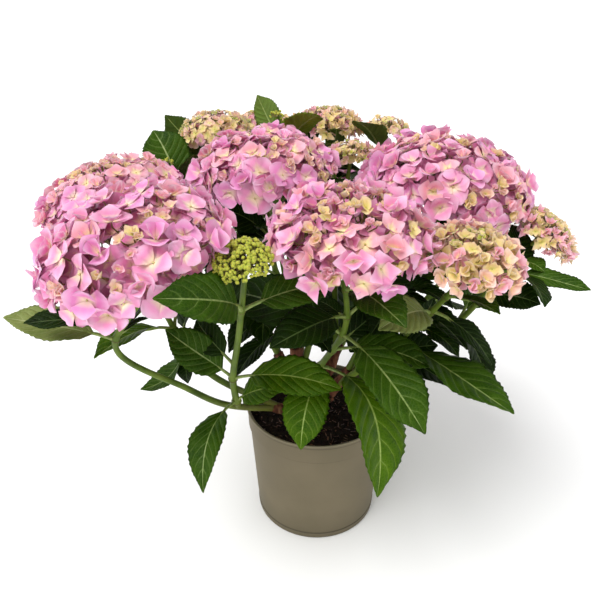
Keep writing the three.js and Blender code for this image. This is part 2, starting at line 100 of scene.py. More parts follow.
# %% [markdown]
# ## Writing node trees as sentences
# A material or a Geometry Nodes rule is a graph, and wiring it by hand hides what it says. Two
# small classes keep it readable: `Graph.node` adds any node from its type, settings and inputs,
# and a `Wire` is one output, on which plus, times, divide, power and "is greater" add Math nodes.

# %% Graphs and wires
class Wire:
    """One output of a node. Arithmetic on it adds Math nodes to its graph."""

    def __init__(self, graph, socket):
        self.graph = graph
        self.socket = socket

    def other(self, name):
        return Wire(self.graph, self.socket.node.outputs[name])

    def maths(self, operation, *values):
        return self.graph.node("ShaderNodeMath", dict(enumerate(values)), operation=operation)

    def __add__(self, value):
        return self.maths("ADD", self, value)

    def __radd__(self, value):
        return self.maths("ADD", value, self)

    def __mul__(self, value):
        return self.maths("MULTIPLY", self, value)

    def __truediv__(self, value):
        return self.maths("DIVIDE", self, value)

    def __pow__(self, value):
        return self.maths("POWER", self, value)

    def __gt__(self, value):
        return self.maths("GREATER_THAN", self, value)


class Graph:
    """A node tree that is filled one named node at a time."""

    def __init__(self, tree):
        self.tree = tree

    def node(self, kind, values=None, output=0, **settings):
        made = self.tree.nodes.new(kind)
        for name, value in settings.items():
            if name == "stops":
                self.fill_ramp(made.color_ramp, value)
            else:
                setattr(made, name, value)
        for key, value in (values or {}).items():
            self.feed(made.inputs[key], value)
        return Wire(self, made.outputs[output]) if made.outputs else made

    def feed(self, socket, value):
        if isinstance(value, Wire):
            self.tree.links.new(value.socket, socket)
        elif isinstance(value, list):
            for wire in value:
                self.feed(socket, wire)
        else:
            socket.default_value = value

    def height(self, vector):
        return self.node("ShaderNodeSeparateXYZ", {0: vector}, 2)

    def spread(self, value, first, last, low=0, high=1):
        """A value that goes from low to high as another goes from first to last, and no further."""
        return self.node("ShaderNodeMapRange", {
            "Value": value, "From Min": first, "From Max": last, "To Min": low, "To Max": high})

    def fill_ramp(self, ramp, stops):
        while len(ramp.elements) < len(stops):
            ramp.elements.new(1)
        for element, (place, colour) in zip(ramp.elements, stops):
            element.position = place
            element.color = colour


def linear(red, green, blue):
    """A colour given on the usual scale of 255, as the linear RGBA that shaders use."""
    def one(value):
        share = value / 255
        return share / 12.92 if share < 0.04045 else ((share + 0.055) / 1.055) ** 2.4
    return (one(red), one(green), one(blue), 1)


def shades(*colours):
    return [linear(*colour) for colour in colours]


def store(mesh, name, kind, domain, values):
    """An attribute of a mesh, for a rule or a material to read."""
    attribute = mesh.attributes.new(name, kind, domain)
    attribute.data.foreach_set("vector" if kind == "FLOAT_VECTOR" else "value", values)


def socket_name(key):
    return key.replace("_", " ").title().replace("Ior", "IOR")


class Finish(Graph):
    """A material: one Principled shader, its constants, and what varies over the surface."""

    def __init__(self, name, **constants):
        self.material = bpy.data.materials.new(name)
        self.material.use_nodes = True
        super().__init__(self.material.node_tree)
        self.shader = self.tree.nodes["Principled BSDF"]
        self.place = self.node("ShaderNodeTexCoord").other("Object")
        for key, value in constants.items():
            self.shader.inputs[socket_name(key)].default_value = value

    def noise(self, scale, detail=3, stretch=(1, 1, 1)):
        stretched = self.node("ShaderNodeMapping", {"Vector": self.place, "Scale": stretch})
        return self.node("ShaderNodeTexNoise", {"Vector": stretched, "Scale": scale, "Detail": detail})

    def attribute(self, name):
        return self.node("ShaderNodeAttribute", attribute_name=name).other("Fac")

    def mix(self, factor, first, second):
        """A blend of two colours, each a wire or a fixed colour."""
        return self.node("ShaderNodeMix", {0: factor, 6: first, 7: second}, 2, data_type="RGBA")

    def ramp(self, factor, *stops):
        return self.node("ShaderNodeValToRGB", {0: factor}, stops=stops)

    def mask(self, factor, black, white):
        """Black where the factor is at one value and white at the other, with a ramp between."""
        return self.ramp(factor, *sorted([(black, (0, 0, 0, 1)), (white, (1, 1, 1, 1))]))

    def bump(self, height, strength, distance):
        sizes = {"Height": height, "Strength": strength, "Distance": distance}
        self.feed(self.shader.inputs["Normal"], self.node("ShaderNodeBump", sizes))

    def vary(self, **wires):
        for key, wire in wires.items():
            self.feed(self.shader.inputs[socket_name(key)], wire)
        return self.material


def grainy(name, dark, light, scale=300, detail=2, roughness=0.55, relief=(0.2, 0.0003)):
    """A plain material with a fine grain in its colour and in its relief."""
    made = Finish(name, roughness=roughness)
    grain = made.noise(scale, detail)
    made.bump(grain, *relief)
    return made.vary(base_color=made.ramp(grain, (0.3, dark), (0.7, light)))


# %% [markdown]
# ## The studio
# The photograph has the soft, high light of an overcast yard: the tops of the flower heads are
# bright and the inside of the shrub falls away to near black. An even sky and one wide, soft sun
# do that. Low down the sky is brighter, as haze is, so that it runs into the floor unseen. The
# floor is plain and pale, and wide enough for its far edge to be out of sight.

# %% Floor and light
FLOOR_REACH = 120
FLOOR_DROP = 0.4 * MM
SUN_WAY = Vector((0.48, 0.45, -1))
SUN_WIDTH = 38
SUN_STRENGTH = 2.45
SKY_STRENGTH = 0.74
HAZE_STRENGTH = 1
HAZE_HEIGHTS = (0.22, 0.3)

floor_finish = Finish("studio_floor", roughness=0.95, specular_ior_level=0.1)
floor_tone = floor_finish.noise(0.6)
floor_finish.vary(base_color=floor_finish.ramp(
    floor_tone, (0.3, linear(248, 248, 248)), (0.7, linear(252, 252, 251))))


def mesh_object(name, vertices, faces, materials, slots=None):
    """A new smooth object at the origin, with its place in its mesh."""
    mesh = bpy.data.meshes.new(name)
    mesh.from_pydata(vertices, [], faces)
    for material in materials:
        mesh.materials.append(material)
    if slots is not None:
        mesh.polygons.foreach_set("material_index", slots)
    mesh.polygons.foreach_set("use_smooth", [True] * len(mesh.polygons))
    return placed(name, mesh)


floor_corners = [
    (x * FLOOR_REACH, y * FLOOR_REACH, -FLOOR_DROP) for x, y in ((-1, -1), (1, -1), (1, 1), (-1, 1))]
floor = mesh_object("floor", floor_corners, [(0, 1, 2, 3)], [floor_finish.material])

sun = bpy.data.lights.new("overcast_sun", "SUN")
sun.angle = math.radians(SUN_WIDTH)
sun.energy = SUN_STRENGTH
sun_object = placed("overcast_sun", sun)
sun_object.rotation_euler = SUN_WAY.to_track_quat("-Z", "Y").to_euler()

sky = bpy.data.worlds.new("studio_sky")
sky.use_nodes = True
sky_graph = Graph(sky.node_tree)
sky_way = sky_graph.node("ShaderNodeTexCoord").other("Generated")
backdrop = sky.node_tree.nodes["Background"]
backdrop.inputs["Color"].default_value = (1, 1, 1, 1)
sky_graph.feed(backdrop.inputs["Strength"], sky_graph.spread(
    sky_graph.height(sky_way), *HAZE_HEIGHTS, HAZE_STRENGTH, SKY_STRENGTH))
bpy.context.scene.world = sky
bpy.context.scene.view_settings.view_transform = "Standard"
print("lamps:", len(bpy.data.lights))

# %% [markdown]
# ## The table of the plant
# A hydrangea is a handful of woody arms from one stock. Each arm carries this year's green
# shoots, and each shoot carries opposite pairs of leaves and ends in one flower head. The table
# says where each shoot rises, the points that it leans through, its head, the leaves that stand
# out in the outline, and the bearings of the pairs that fill the crown. Places are millimetres
# from the middle of the pot's underside, with the front of the plant towards -Y.

# %% Arms and shoots
Leaf = namedtuple("Leaf", "share tip width arch turn tint")
Head = namedtuple("Head", "kind at radius lean")
Shoot = namedtuple("Shoot", "carrier share bare way head leaves pairs")


def leaf(share, tip, width=0.56, arch=0.13, turn=0, tint=None):
    return Leaf(share, Vector(tip), width, arch, turn, tint)


dark, mid, bright, pale = (partial(leaf, tint=tint) for tint in ("dark", "mid", "bright", "pale"))


def head(kind, at, radius, lean=0.5):
    return Head(kind, Vector(at), radius, lean)


STOCK_FOOT = Vector((-12, 0, 172))
ARM_BOW = 9
ARM_FOOT_RADIUS = 11.5
ARMS = {
    "low_left": ((-66, -38, 204), 6.5),
    "left": ((-58, 14, 262), 7),
    "middle": ((-32, -8, 286), 8),
    "front": ((-6, -50, 258), 7),
    "right": ((46, -20, 256), 7.5),
    "back_right": ((34, 40, 262), 7),
    "back": ((-30, 52, 262), 7),
}

SHOOTS = {
    "front_left": Shoot(
        "low_left", 0.85, 0.62, [(-121, -85, 242), (-165, -124, 297), (-223, -180, 386)],
        head("open", (-180, -209, 509), 94),
        [pale(0.8, (-323, -205, 440), 0.5, 0.05),
         dark(0.8, (-196, -92, 404), 0.35, 0.05),
         dark(0.88, (-292, -228, 446), 0.42, 0.06),
         mid(0.86, (-262, -150, 450), 0.5, 0.1)],
        []),
    "far_left": Shoot(
        "low_left", 0.6, 0.5, [(-125, -74, 270), (-158, -86, 315), (-186, -92, 378)],
        head("open", (-243, -54, 506), 85),
        [mid(0.62, (-226, -112, 286), 0.6, -0.2),
         dark(0.62, (-150, -10, 380))],
        [(0.7, 60), (0.84, 0)]),
    "middle": Shoot(
        "middle", 0.9, 0.3, [(-52, -2, 370), (-66, 2, 450)],
        head("open", (-70, 5, 528), 91),
        [dark(0.36, (11, -139, 357), 0.5), dark(0.42, (-68, -143, 370))],
        [(0.42, 75), (0.55, 20), (0.72, 110), (0.88, 20)]),
    "front": Shoot(
        "front", 0.85, 0.3, [(1, -87, 304), (27, -134, 388)],
        head("open", (22, -174, 509), 83),
        [mid(0.62, (105, -245, 324), 0.52, 0.12),
         dark(0.62, (-108, -101, 419)),
         bright(0.345, (62, -235, 226), 0.6, 0.28, -28),
         bright(0.345, (-24, -176, 244), 0.62, 0.2)],
        [(0.5, 165), (0.74, 40), (0.9, 120)]),
    "right": Shoot(
        "right", 0.9, 0.3, [(78, -30, 345), (118, -30, 430)],
        head("open", (158, -2, 509), 108),
        [dark(0.36, (56, -138, 380)), dark(0.4, (122, -160, 358))],
        [(0.5, 30), (0.62, 95), (0.74, 150), (0.88, 50)]),
    "right_front": Shoot(
        "right", 0.6, 0.35, [(84, -62, 310), (122, -120, 395)],
        head("half", (149, -168, 484), 54),
        [mid(0.45, (204, -219, 330), 0.48, 0.03),
         dark(0.45, (60, -170, 330)),
         pale(0.7, (55, -205, 425)),
         dark(0.72, (190, -170, 360), 0.44),
         mid(0.85, (176, -206, 444), 0.5, 0.08)],
        []),
    "far_right": Shoot(
        "right", 0.75, 0.45, [(110, -52, 310), (168, -72, 355), (214, -80, 425)],
        head("half", (268, -48, 468), 43, 1.2),
        [mid(0.8, (306, -122, 430), 0.36, 0.06, 30),
         dark(0.8, (240, -160, 428)),
         mid(0.88, (261, -96, 441), 0.9, turn=30),
         dark(0.5, (156, -157, 320)),
         leaf(0.52, (218, 21, 387))],
        []),
    "back_left": Shoot(
        "back", 0.85, 0.4, [(-84, 84, 360), (-120, 118, 460)],
        head("young", (-146, 142, 548), 50),
        [dark(0.86, (-216, 140, 578), 0.6, 0.08, 70), leaf(0.86, (-70, 110, 500))],
        [(0.5, 0), (0.7, 90)]),
    "back_left_inner": Shoot(
        "back", 0.7, 0.4, [(-50, 96, 360), (-72, 160, 470)],
        head("young", (-84, 205, 544), 42), [],
        [(0.5, 45), (0.7, 135), (0.86, 45)]),
    "back": Shoot(
        "back_right", 0.9, 0.4, [(26, 80, 370), (28, 130, 470)],
        head("half", (15, 165, 552), 51),
        [mid(0.9, (31, 110, 565)), leaf(0.9, (90, 190, 520), 0.5, 0.02)],
        [(0.5, 0), (0.7, 90)]),
    "back_right_inner": Shoot(
        "back_right", 0.7, 0.4, [(66, 80, 370), (90, 130, 470)],
        head("young", (102, 166, 548), 30), [],
        [(0.5, 45), (0.7, 135), (0.88, 45)]),
    "inner": Shoot(
        "middle", 0.6, 0.45, [(10, 20, 370), (32, 52, 460)],
        head("young", (42, 68, 536), 29), [],
        [(0.55, 60), (0.78, 150)]),
    "front_bud": Shoot(
        "front_left", 0.2, 0, [(-108, -114, 305), (-91, -173, 400)],
        head("green", (-77, -230, 511), 28),
        [mid(0.82, (-158, -244, 485), 0.66, 0.14),
         mid(0.82, (8, -170, 460)),
         mid(0.33, (-183, -122, 379)),
         bright(0.33, (24, -166, 324), 0.42, 0.15),
         bright(0.07, (-41, -119, 295)),
         mid(0.07, (-140, -202, 200), 0.42, 0.22)],
        []),
    "top_sprig": Shoot(
        "middle", 0.8, 0.4, [(-40, 50, 400), (-52, 90, 500)],
        head("tip", (-57, 122, 580), 10),
        [mid(0.9, (-80, 152, 604), 0.66, 0.08, 60),
         bright(0.9, (-16, 112, 586), 0.6, 0.1, 40)],
        [(0.6, 30), (0.8, 120)]),
    "left_sprig": Shoot(
        "left", 0.9, 0.4, [(-105, 40, 350), (-160, 60, 450)],
        head("tip", (-200, 50, 532), 10),
        [mid(0.86, (-221, 82, 568), 0.85, 0.08, 80),
         dark(0.86, (-160, 30, 548), 0.6, 0.08)],
        [(0.48, 75), (0.62, 160), (0.75, 120)]),
    "rear_left": Shoot(
        "left", 0.7, 0.42, [(-92, 66, 320), (-142, 140, 385)],
        head("open", (-175, 190, 440), 80), [],
        [(0.5, 30), (0.7, 120), (0.88, 30)]),
    "rear": Shoot(
        "back", 0.55, 0.4, [(-26, 130, 325), (-15, 210, 385)],
        head("open", (-10, 280, 446), 83), [],
        [(0.48, 60), (0.66, 150), (0.84, 60)]),
    "rear_right": Shoot(
        "back_right", 0.5, 0.42, [(80, 85, 330), (122, 150, 395)],
        head("open", (150, 205, 455), 79), [],
        [(0.5, 60), (0.7, 150), (0.88, 60)]),
    "side_right": Shoot(
        "right", 0.45, 0.42, [(110, 10, 300), (175, 50, 355)],
        head("half", (222, 80, 428), 52), [],
        [(0.5, 60), (0.7, 150), (0.88, 60)]),
}
print("arms:", len(ARMS), "shoots:", len(SHOOTS))

# %% [markdown]
# ## How a shoot runs
# An arm is a curve with one bend, and a shoot is a smooth curve through its points, from its
# place on the arm to the neck under its head. A head faces up and a little outwards. The same
# few lines work out the solids, so stems, leaves and heads meet where the solids meet.

# %% Curves of the plant
HEAD_RISE = 0.65
NECK_DROP = 0.42
LEAST_NECK = 16
STEM_FOOT_RADIUS = 5
STEM_NECK_RADIUS = 2.8
LENGTH_STEPS = 40
UP = Vector((0, 0, 1))


def mix(first, second, share):
    return first + (second - first) * share


def arm_point(arm, share):
    tip = Vector(ARMS[arm][0])
    bow = (STOCK_FOOT + tip) / 2 - UP * ARM_BOW
    return mix(mix(STOCK_FOOT, bow, share), mix(bow, tip, share), share)


def head_axis(flower):
    return Vector((flower.at.x * flower.lean, flower.at.y * flower.lean, flower.at.z)).normalized()


def neck_of(flower):
    return flower.at - head_axis(flower) * max(LEAST_NECK, NECK_DROP * flower.radius)


class Path:
    """A smooth curve through points, by the usual uniform Catmull-Rom rule."""

    def __init__(self, points):
        self.points = [Vector(point) for point in points]

    def at(self, share):
        p = self.points
        span = share * (len(p) - 1)
        i = min(int(span), len(p) - 2)
        t = span - i
        before = p[i - 1] if i > 0 else 2 * p[0] - p[1]
        after = p[i + 2] if i + 2 < len(p) else 2 * p[-1] - p[-2]
        slope_in = (p[i + 1] - before) / 2
        slope_out = (after - p[i]) / 2
        rise = p[i + 1] - p[i]
        bend = 3 * rise - 2 * slope_in - slope_out
        return p[i] + slope_in * t + bend * t ** 2 + (slope_in + slope_out - 2 * rise) * t ** 3

    def along(self, share):
        step = 1e-3
        return (self.at(min(1, share + step)) - self.at(max(0, share - step))).normalized()

    def length(self):
        places = [self.at(i / LENGTH_STEPS) for i in range(LENGTH_STEPS + 1)]
        return sum((b - a).length for a, b in zip(places, places[1:]))


def path_of(name):
    shoot = SHOOTS[name]
    if shoot.carrier in ARMS:
        foot = arm_point(shoot.carrier, shoot.share)
    else:
        foot = path_of(shoot.carrier).at(shoot.share)
    return Path([foot, *shoot.way, neck_of(shoot.head)])


PATHS = {name: path_of(name) for name in SHOOTS}
print("longest shoot in millimetres:", round(max(path.length() for path in PATHS.values())))

# %% [markdown]
# ## Tubes along paths
# Stems, petioles and the stalks of florets are all the same thing, a round section carried along
# a path. Geometry Nodes do it for hundreds at once: each strand is one spline of a curve object
# with a radius at each point, Curve to Mesh gives it a round section, and the result is kept as a
# plain mesh. A loop of cylinders would leave a crack at every bend.

# %% A rule that sweeps strands
Strand = namedtuple("Strand", "places radii")


class Rule(Graph):
    """A Geometry Nodes tree with a geometry input and one named input for each size."""

    def __init__(self, name, **kinds):
        super().__init__(bpy.data.node_groups.new(name, "GeometryNodeTree"))
        self.add_socket("Geometry", "INPUT", "NodeSocketGeometry")
        for key, kind in kinds.items():
            self.add_socket(key.replace("_", " "), "INPUT", kind)
        self.add_socket("Geometry", "OUTPUT", "NodeSocketGeometry")
        self.given = self.node("NodeGroupInput")

    def add_socket(self, name, way, kind):
        self.tree.interface.new_socket(name=name, in_out=way, socket_type=kind)

    def random_vector(self, least, most, seed):
        sizes = {"Min": least, "Max": most, "Seed": seed}
        return self.node("FunctionNodeRandomValue", sizes, data_type="FLOAT_VECTOR")

    def turn(self, angles):
        return self.node("FunctionNodeEulerToRotation", {"Euler": angles})

    def read(self, kind, name):
        return self.node("GeometryNodeInputNamedAttribute", {"Name": name}, data_type=kind)

    def realized(self, geometry):
        return self.node("GeometryNodeRealizeInstances", {"Geometry": geometry})

    def painted(self, geometry, finish, selection=True):
        return self.node("GeometryNodeSetMaterial", {
            "Geometry": geometry, "Selection": selection, "Material": self.given.other(finish)})

    def end(self, geometry):
        self.node("NodeGroupOutput", {"Geometry": geometry})


def kept(thing, name):
    """The mesh that an object's modifiers end with, as a plain object. The first one is thrown away."""
    evaluated = thing.evaluated_get(bpy.context.evaluated_depsgraph_get())
    mesh = bpy.data.meshes.new_from_object(evaluated)
    mesh.name = name
    thing.modifiers.clear()
    bpy.data.objects.remove(thing)
    return placed(name, mesh)


def grown(base, rule, name, **sizes):
    """The plain mesh that a rule grows from a base object, which is then thrown away."""
    modifier = base.modifiers.new("rule", "NODES")
    modifier.node_group = rule.tree
    for item in rule.tree.interface.items_tree:
        key = item.name.replace(" ", "_")
        if item.in_out == "INPUT" and key in sizes:
            modifier[item.identifier] = sizes[key]
    return kept(base, name)


sweep_rule = Rule("sweep_strands", Sides="NodeSocketInt", Finish="NodeSocketMaterial")
circle = sweep_rule.node(
    "GeometryNodeCurvePrimitiveCircle", {"Resolution": sweep_rule.given.other("Sides"), "Radius": 1})
swept_mesh = sweep_rule.node("GeometryNodeCurveToMesh", {
    "Curve": sweep_rule.given.other("Geometry"),
    "Profile Curve": circle,
    "Scale": sweep_rule.node("GeometryNodeInputRadius"),
    "Fill Caps": True,
})
smoothed = sweep_rule.node("GeometryNodeSetShadeSmooth", {"Geometry": swept_mesh})
sweep_rule.end(sweep_rule.painted(sweep_rule.realized(smoothed), "Finish"))


def swept(name, strands, sides, material):
    """One piece of round tubes. Strands are in millimetres."""
    curve = bpy.data.curves.new(name, "CURVE")
    curve.dimensions = "3D"
    for strand in strands:
        spline = curve.splines.new("POLY")
        spline.points.add(len(strand.places) - 1)
        for point, place, radius in zip(spline.points, strand.places, strand.radii):
            point.co = (*(place * MM), 1)
            point.radius = radius * MM
    piece = grown(placed(name, curve), sweep_rule, name, Sides=sides, Finish=material)
    print(name, "strands:", len(strands), "faces:", len(piece.data.polygons))
    return piece


# %% [markdown]
# ## Green stems
# This year's stems are round, olive green and dotted with brown, a little woody near the foot.
# They swell where a pair of leaves sits, and a thin brown scar runs round the swelling. Each is
# one strand whose radius tapers and rises at its leaf pairs; the scars are short strands.

# %% Stems and their scars
STEM_STEPS = 56
STEM_SIDES = 12
SWELLING = 0.42
SWELLING_LENGTH = 5
SCAR_LENGTH = 0.8
SCAR_PROUD = 1.04
WOODY_HEIGHTS = (0.31, 0.2)
HUB_DROP = 0.12

stem_finish = Finish("green_stem_skin", roughness=0.48, specular_ior_level=0.25)
stem_mottle = stem_finish.noise(38, 4)
stem_green = stem_finish.ramp(
    stem_mottle, (0.3, linear(64, 86, 18)), (0.55, linear(92, 114, 32)), (0.8, linear(112, 128, 46)))
stem_dots = stem_finish.noise(900, 2, (1, 1, 0.5))
stem_specks = stem_finish.mask(stem_dots, 0.62, 0.7)
stem_height = stem_finish.height(stem_finish.place)
woodiness = stem_finish.spread(stem_height + stem_mottle * 0.08, *WOODY_HEIGHTS)
stem_colour = stem_finish.mix(woodiness * 0.8, stem_green, linear(112, 92, 52))
stem_colour = stem_finish.mix(stem_specks * 0.45, stem_colour, linear(74, 58, 34))
stem_finish.bump(stem_dots + stem_mottle, 0.25, 0.0006)
stem_finish.vary(base_color=stem_colour, roughness=0.4 + stem_mottle * 0.25)

scar_skin = grainy("stem_scar", *shades((84, 70, 36), (112, 104, 56)), 300, 3, 0.7, (0.4, 0.0004))


def joints_of(name):
    """The shares of a shoot at which its leaves sit, each once."""
    shoot = SHOOTS[name]
    return sorted({one.share for one in shoot.leaves} | {share for share, bearing in shoot.pairs})


def stem_radius(name, share):
    """The taper of a stem, with a swelling at each of its joints."""
    swell = 0
    for joint in joints_of(name):
        away = (share - joint) * PATHS[name].length() / SWELLING_LENGTH
        swell = max(swell, math.exp(-away * away))
    return mix(STEM_FOOT_RADIUS, STEM_NECK_RADIUS, share) * (1 + SWELLING * swell)


def hub_of(flower):
    """Where a head's stalks part, a little under its middle."""
    return flower.at - head_axis(flower) * HUB_DROP * flower.radius


stem_strands = []
scar_strands = []
for name, path in PATHS.items():
    shares = [i / STEM_STEPS for i in range(STEM_STEPS + 1)]
    flower = SHOOTS[name].head
    places = [path.at(share) for share in shares] + [hub_of(flower)]
    radii = [stem_radius(name, share) for share in shares] + [STEM_NECK_RADIUS]
    stem_strands.append(Strand(places, radii))
    for joint in joints_of(name):
        half = path.along(joint) * SCAR_LENGTH / 2
        girth = stem_radius(name, joint) * SCAR_PROUD
        scar_strands.append(Strand([path.at(joint) - half, path.at(joint) + half], [girth, girth]))

stems = swept("green_stems", stem_strands, STEM_SIDES, stem_finish.material)
scars = swept("stem_scars", scar_strands, STEM_SIDES, scar_skin)

# %% [markdown]
# ## Finding each leaf's seat
# In the solids a leaf that would touch a neighbour is turned a little about its root, until it
# has room. Running that search again could end differently by a hair. So each turn is tried in
# the same order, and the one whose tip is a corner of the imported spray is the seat. A leaf whose
# tip is nowhere in the spray found no room, and is left out here too.

# %% Seats of the leaves
LEAF_LENGTH = 118
LEAF_LIFT = 16
LEAF_SHORTENING = 0.3
NUDGE_LENGTHS = (1, 0.85)
NUDGE_ANGLES = (0, 8, -8, 16, -16, 24, -24)
SEAT_REACH = 0.9
TINTS = ("dark", "dark", "mid", "mid", "mid", "bright")

SWAY = 0.05
# One leaf lies on a flower head, where the solids' larger florets leave it no room. Its tip, its
# width and its turn are its own.
LAID_ON_A_HEAD = {("front_bud", 0): (Vector((-142, -308, 513)), 0.42, -58)}

# Small leaves that the solids leave out, most of them deep in the shrub, where they darken the
# gaps between the stems.
INNER_LEAVES = {
    "front": [leaf(0.5, (99, -58, 399)), leaf(0.72, (-4, -119, 416), 0.6)],
    "front_bud": [leaf(0.45, (-152, -90, 374), 0.62), leaf(0.75, (-106, -135, 496), 0.6)],
    "middle": [leaf(0.24, (-117, -75, 317), 0.6), leaf(0.14, (-110, -68, 275), 0.5),
               leaf(0.66, (-122, 0, 485), 0.9, turn=-45), leaf(0.5, (-99, -34, 462), 0.8, turn=-40),
               leaf(0.6, (-108, 3, 470), 1, turn=-40)],
    "right": [leaf(0.42, (146, -43, 402), 0.7), leaf(0.5, (133, -100, 366), 0.6),
              leaf(0.5, (164, -80, 384), 0.6), leaf(0.62, (203, -72, 440), 0.6),
              leaf(0.75, (227, 84, 464), 0.56)],
    "right_front": [leaf(0.58, (158, -149, 358), 0.66), leaf(0.62, (95, -88, 411), 0.6),
                    leaf(0.3, (159, -128, 301), 0.7), leaf(0.5, (135, -96, 407), 0.8),
                    leaf(0.3, (151, -79, 331), 0.7, turn=40)],
    "far_right": [leaf(0.7, (249, -12, 440), 0.6), leaf(0.8, (247, -29, 473), 0.9),
                  leaf(0.66, (252, -122, 412), 0.8, turn=40)],
    "front_left": [leaf(0.8, (-190, -155, 413), 0.32)],
    "back_left": [leaf(0.86, (-216, 140, 578), 0.6, 0.08, 70)],
    "back_right_inner": [leaf(0.62, (152, 66, 473), 0.6)],
    "rear": [leaf(0.5, (8, 37, 249), 0.9)],
    "rear_right": [leaf(0.5, (48, 15, 262), 0.9)],
    "far_left": [leaf(0.55, (-166, -109, 293), 0.9)],
}

Seat = namedtuple("Seat", "root tip width arch turn tint sway")


def corners_of(node):
    """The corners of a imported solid, in millimetres, ready to be searched."""
    vertices = frame["nodes"][node].data.vertices
    tree = KDTree(len(vertices))
    for i, vertex in enumerate(vertices):
        tree.insert(vertex.co / MM, i)
    tree.balance()
    return tree


def paired_leaves(name):
    """The opposite pairs of a shoot, square to its stem and lifted a little along it."""
    path = PATHS[name]
    lift = math.radians(LEAF_LIFT)
    for share, bearing in SHOOTS[name].pairs:
        length = LEAF_LENGTH * (1 - LEAF_SHORTENING * (share - 0.5))
        along = path.along(share)
        for side in (0, 180):
            angle = math.radians(bearing + side)
            out = Vector((math.cos(angle), math.sin(angle), 0))
            out = (out - along * out.dot(along)).normalized()
            tip = path.at(share) + (out * math.cos(lift) + along * math.sin(lift)) * length
            yield leaf(share, tip)


def seat_of(root, tip, corners):
    for length in NUDGE_LENGTHS:
        for pitch in NUDGE_ANGLES:
            for bearing in NUDGE_ANGLES:
                reach = Matrix.Rotation(math.radians(bearing), 3, "Z") @ ((tip - root) * length)
                across = reach.cross(UP).normalized()
                turned = root + Matrix.Rotation(math.radians(pitch), 3, across) @ reach
                if corners.find(turned)[2] < SEAT_REACH:
                    return turned
    return None


leaf_dice = random.Random(8)
seats = []
laid_seats = []
for name, shoot in SHOOTS.items():
    corners = corners_of(f"spray_{name}")
    for number, one in enumerate([*shoot.leaves, *paired_leaves(name)]):
        root = PATHS[name].at(one.share)
        laid = LAID_ON_A_HEAD.get((name, number))
        tip, width, turn = laid or (seat_of(root, one.tip, corners), one.width, one.turn)
        tint = one.tint or leaf_dice.choice(TINTS)
        sway = leaf_dice.uniform(-SWAY, SWAY)
        if tip:
            seats.append(Seat(root, tip, width, one.arch, turn, tint, sway))
        if laid:
            laid_seats.append(seats[-1])
for name, inner in INNER_LEAVES.items():
    for one in inner:
        sway = leaf_dice.uniform(-SWAY, SWAY)
        root = PATHS[name].at(one.share)
        seats.append(Seat(root, one.tip, one.width, one.arch, one.turn, "dark", sway))
print("leaves seated:", len(seats))

# %% [markdown]
# ## The leaf blade
# The blade is broad, drawn out to a fine point, toothed along its margin, and quilted: it bulges
# between the veins that sweep forward from the midrib. A flat card with a picture would do far off,
# but this object is seen from all sides. So the rows of the grid run along the lateral veins, and
# the veins, the bulges and the teeth are all real shape, at nine hundred faces a leaf.

# %% The grid of a blade
PETIOLE_SHARE = 0.2
LEAF_FOLD = 0.16
LEAF_FACING = 0.75
BLADE_POWERS = (0.62, 0.64)
BLADE_PEAK = 2.395
TIP_PINCH = 0.5
TIP_REACH = 0.13
LATERALS = (0.04, 0.13, 0.24, 0.36, 0.49, 0.63, 0.78)
LATERAL_SWEEP = 0.86
LATERAL_CURVE = 1.15
VEIN_HALF_WIDTH = 0.0032
MIDRIB_HALF_WIDTH = 0.034
COLUMNS = (0.3, 0.6, 0.86, 1)
BLADE_THICKNESS = 0.7
QUILT = 0.0115
GROOVE = 0.5
GROOVE_WIDTH = 0.08
TOOTH = 0.035
MARGIN_WAVE = 0.022
WAVE_COUNTS = (7, 11)
SIDES_OUT_OF_STEP = 2.2

# Each row is the place where it leaves the midrib, whether it is the edge of a vein, how far it
# lies between two veins, and whether it ends in a tooth or in the notch beside one.
Row = namedtuple("Row", "foot vein_side bulge tooth")


def blade_rows():
    rows = [Row(0, 0, 0, 0), Row(0.02, 0, 0.5, 1)]
    for here, following in zip(LATERALS, [*LATERALS[1:], 0.96]):
        gap = following - here
        rows.append(Row(here, -1, 0, -1))
        rows.append(Row(here, 1, 0, -1))
        rows.append(Row(here + gap * 0.22, 0, 0.75, 1))
        rows.append(Row(here + gap * 0.42, 0, 1, -1))
        rows.append(Row(here + gap * 0.62, 0, 1, 1))
        rows.append(Row(here + gap * 0.82, 0, 0.7, -1))
    return [*rows, Row(0.965, 0, 0.3, 1), Row(1, 0, 0, 0)]


ROWS = blade_rows()
MIDRIB = (-MIDRIB_HALF_WIDTH, 0, MIDRIB_HALF_WIDTH)
ACROSS = np.array([*(-c for c in reversed(COLUMNS)), *MIDRIB, *COLUMNS])
WIDE = len(ACROSS)
foot = np.array([row.foot for row in ROWS])[:, None]
vein_side = np.array([row.vein_side for row in ROWS])[:, None]
bulge = np.array([row.bulge for row in ROWS])[:, None]
tooth = np.array([row.tooth for row in ROWS])[:, None]
reach = np.abs(ACROSS)[None, :]

start = np.clip(foot + vein_side * VEIN_HALF_WIDTH * (1 - 0.75 * reach), 0, 1)
BLADE_SHARE = start + LATERAL_SWEEP * np.sqrt(start) * (1 - start) * reach ** LATERAL_CURVE
to_tip = np.clip(1 - BLADE_SHARE, 0, 1)
BLADE_WIDTH = BLADE_PEAK * BLADE_SHARE ** BLADE_POWERS[0] * to_tip ** BLADE_POWERS[1]
BLADE_WIDTH = BLADE_WIDTH * (1 - TIP_PINCH * np.exp(-(to_tip / TIP_REACH) ** 2))
TOOTHED = 1 + tooth * TOOTH * (reach >= 1)
QUILTED = bulge * np.clip(reach * (1.12 - reach) * 3.4, 0, 1)


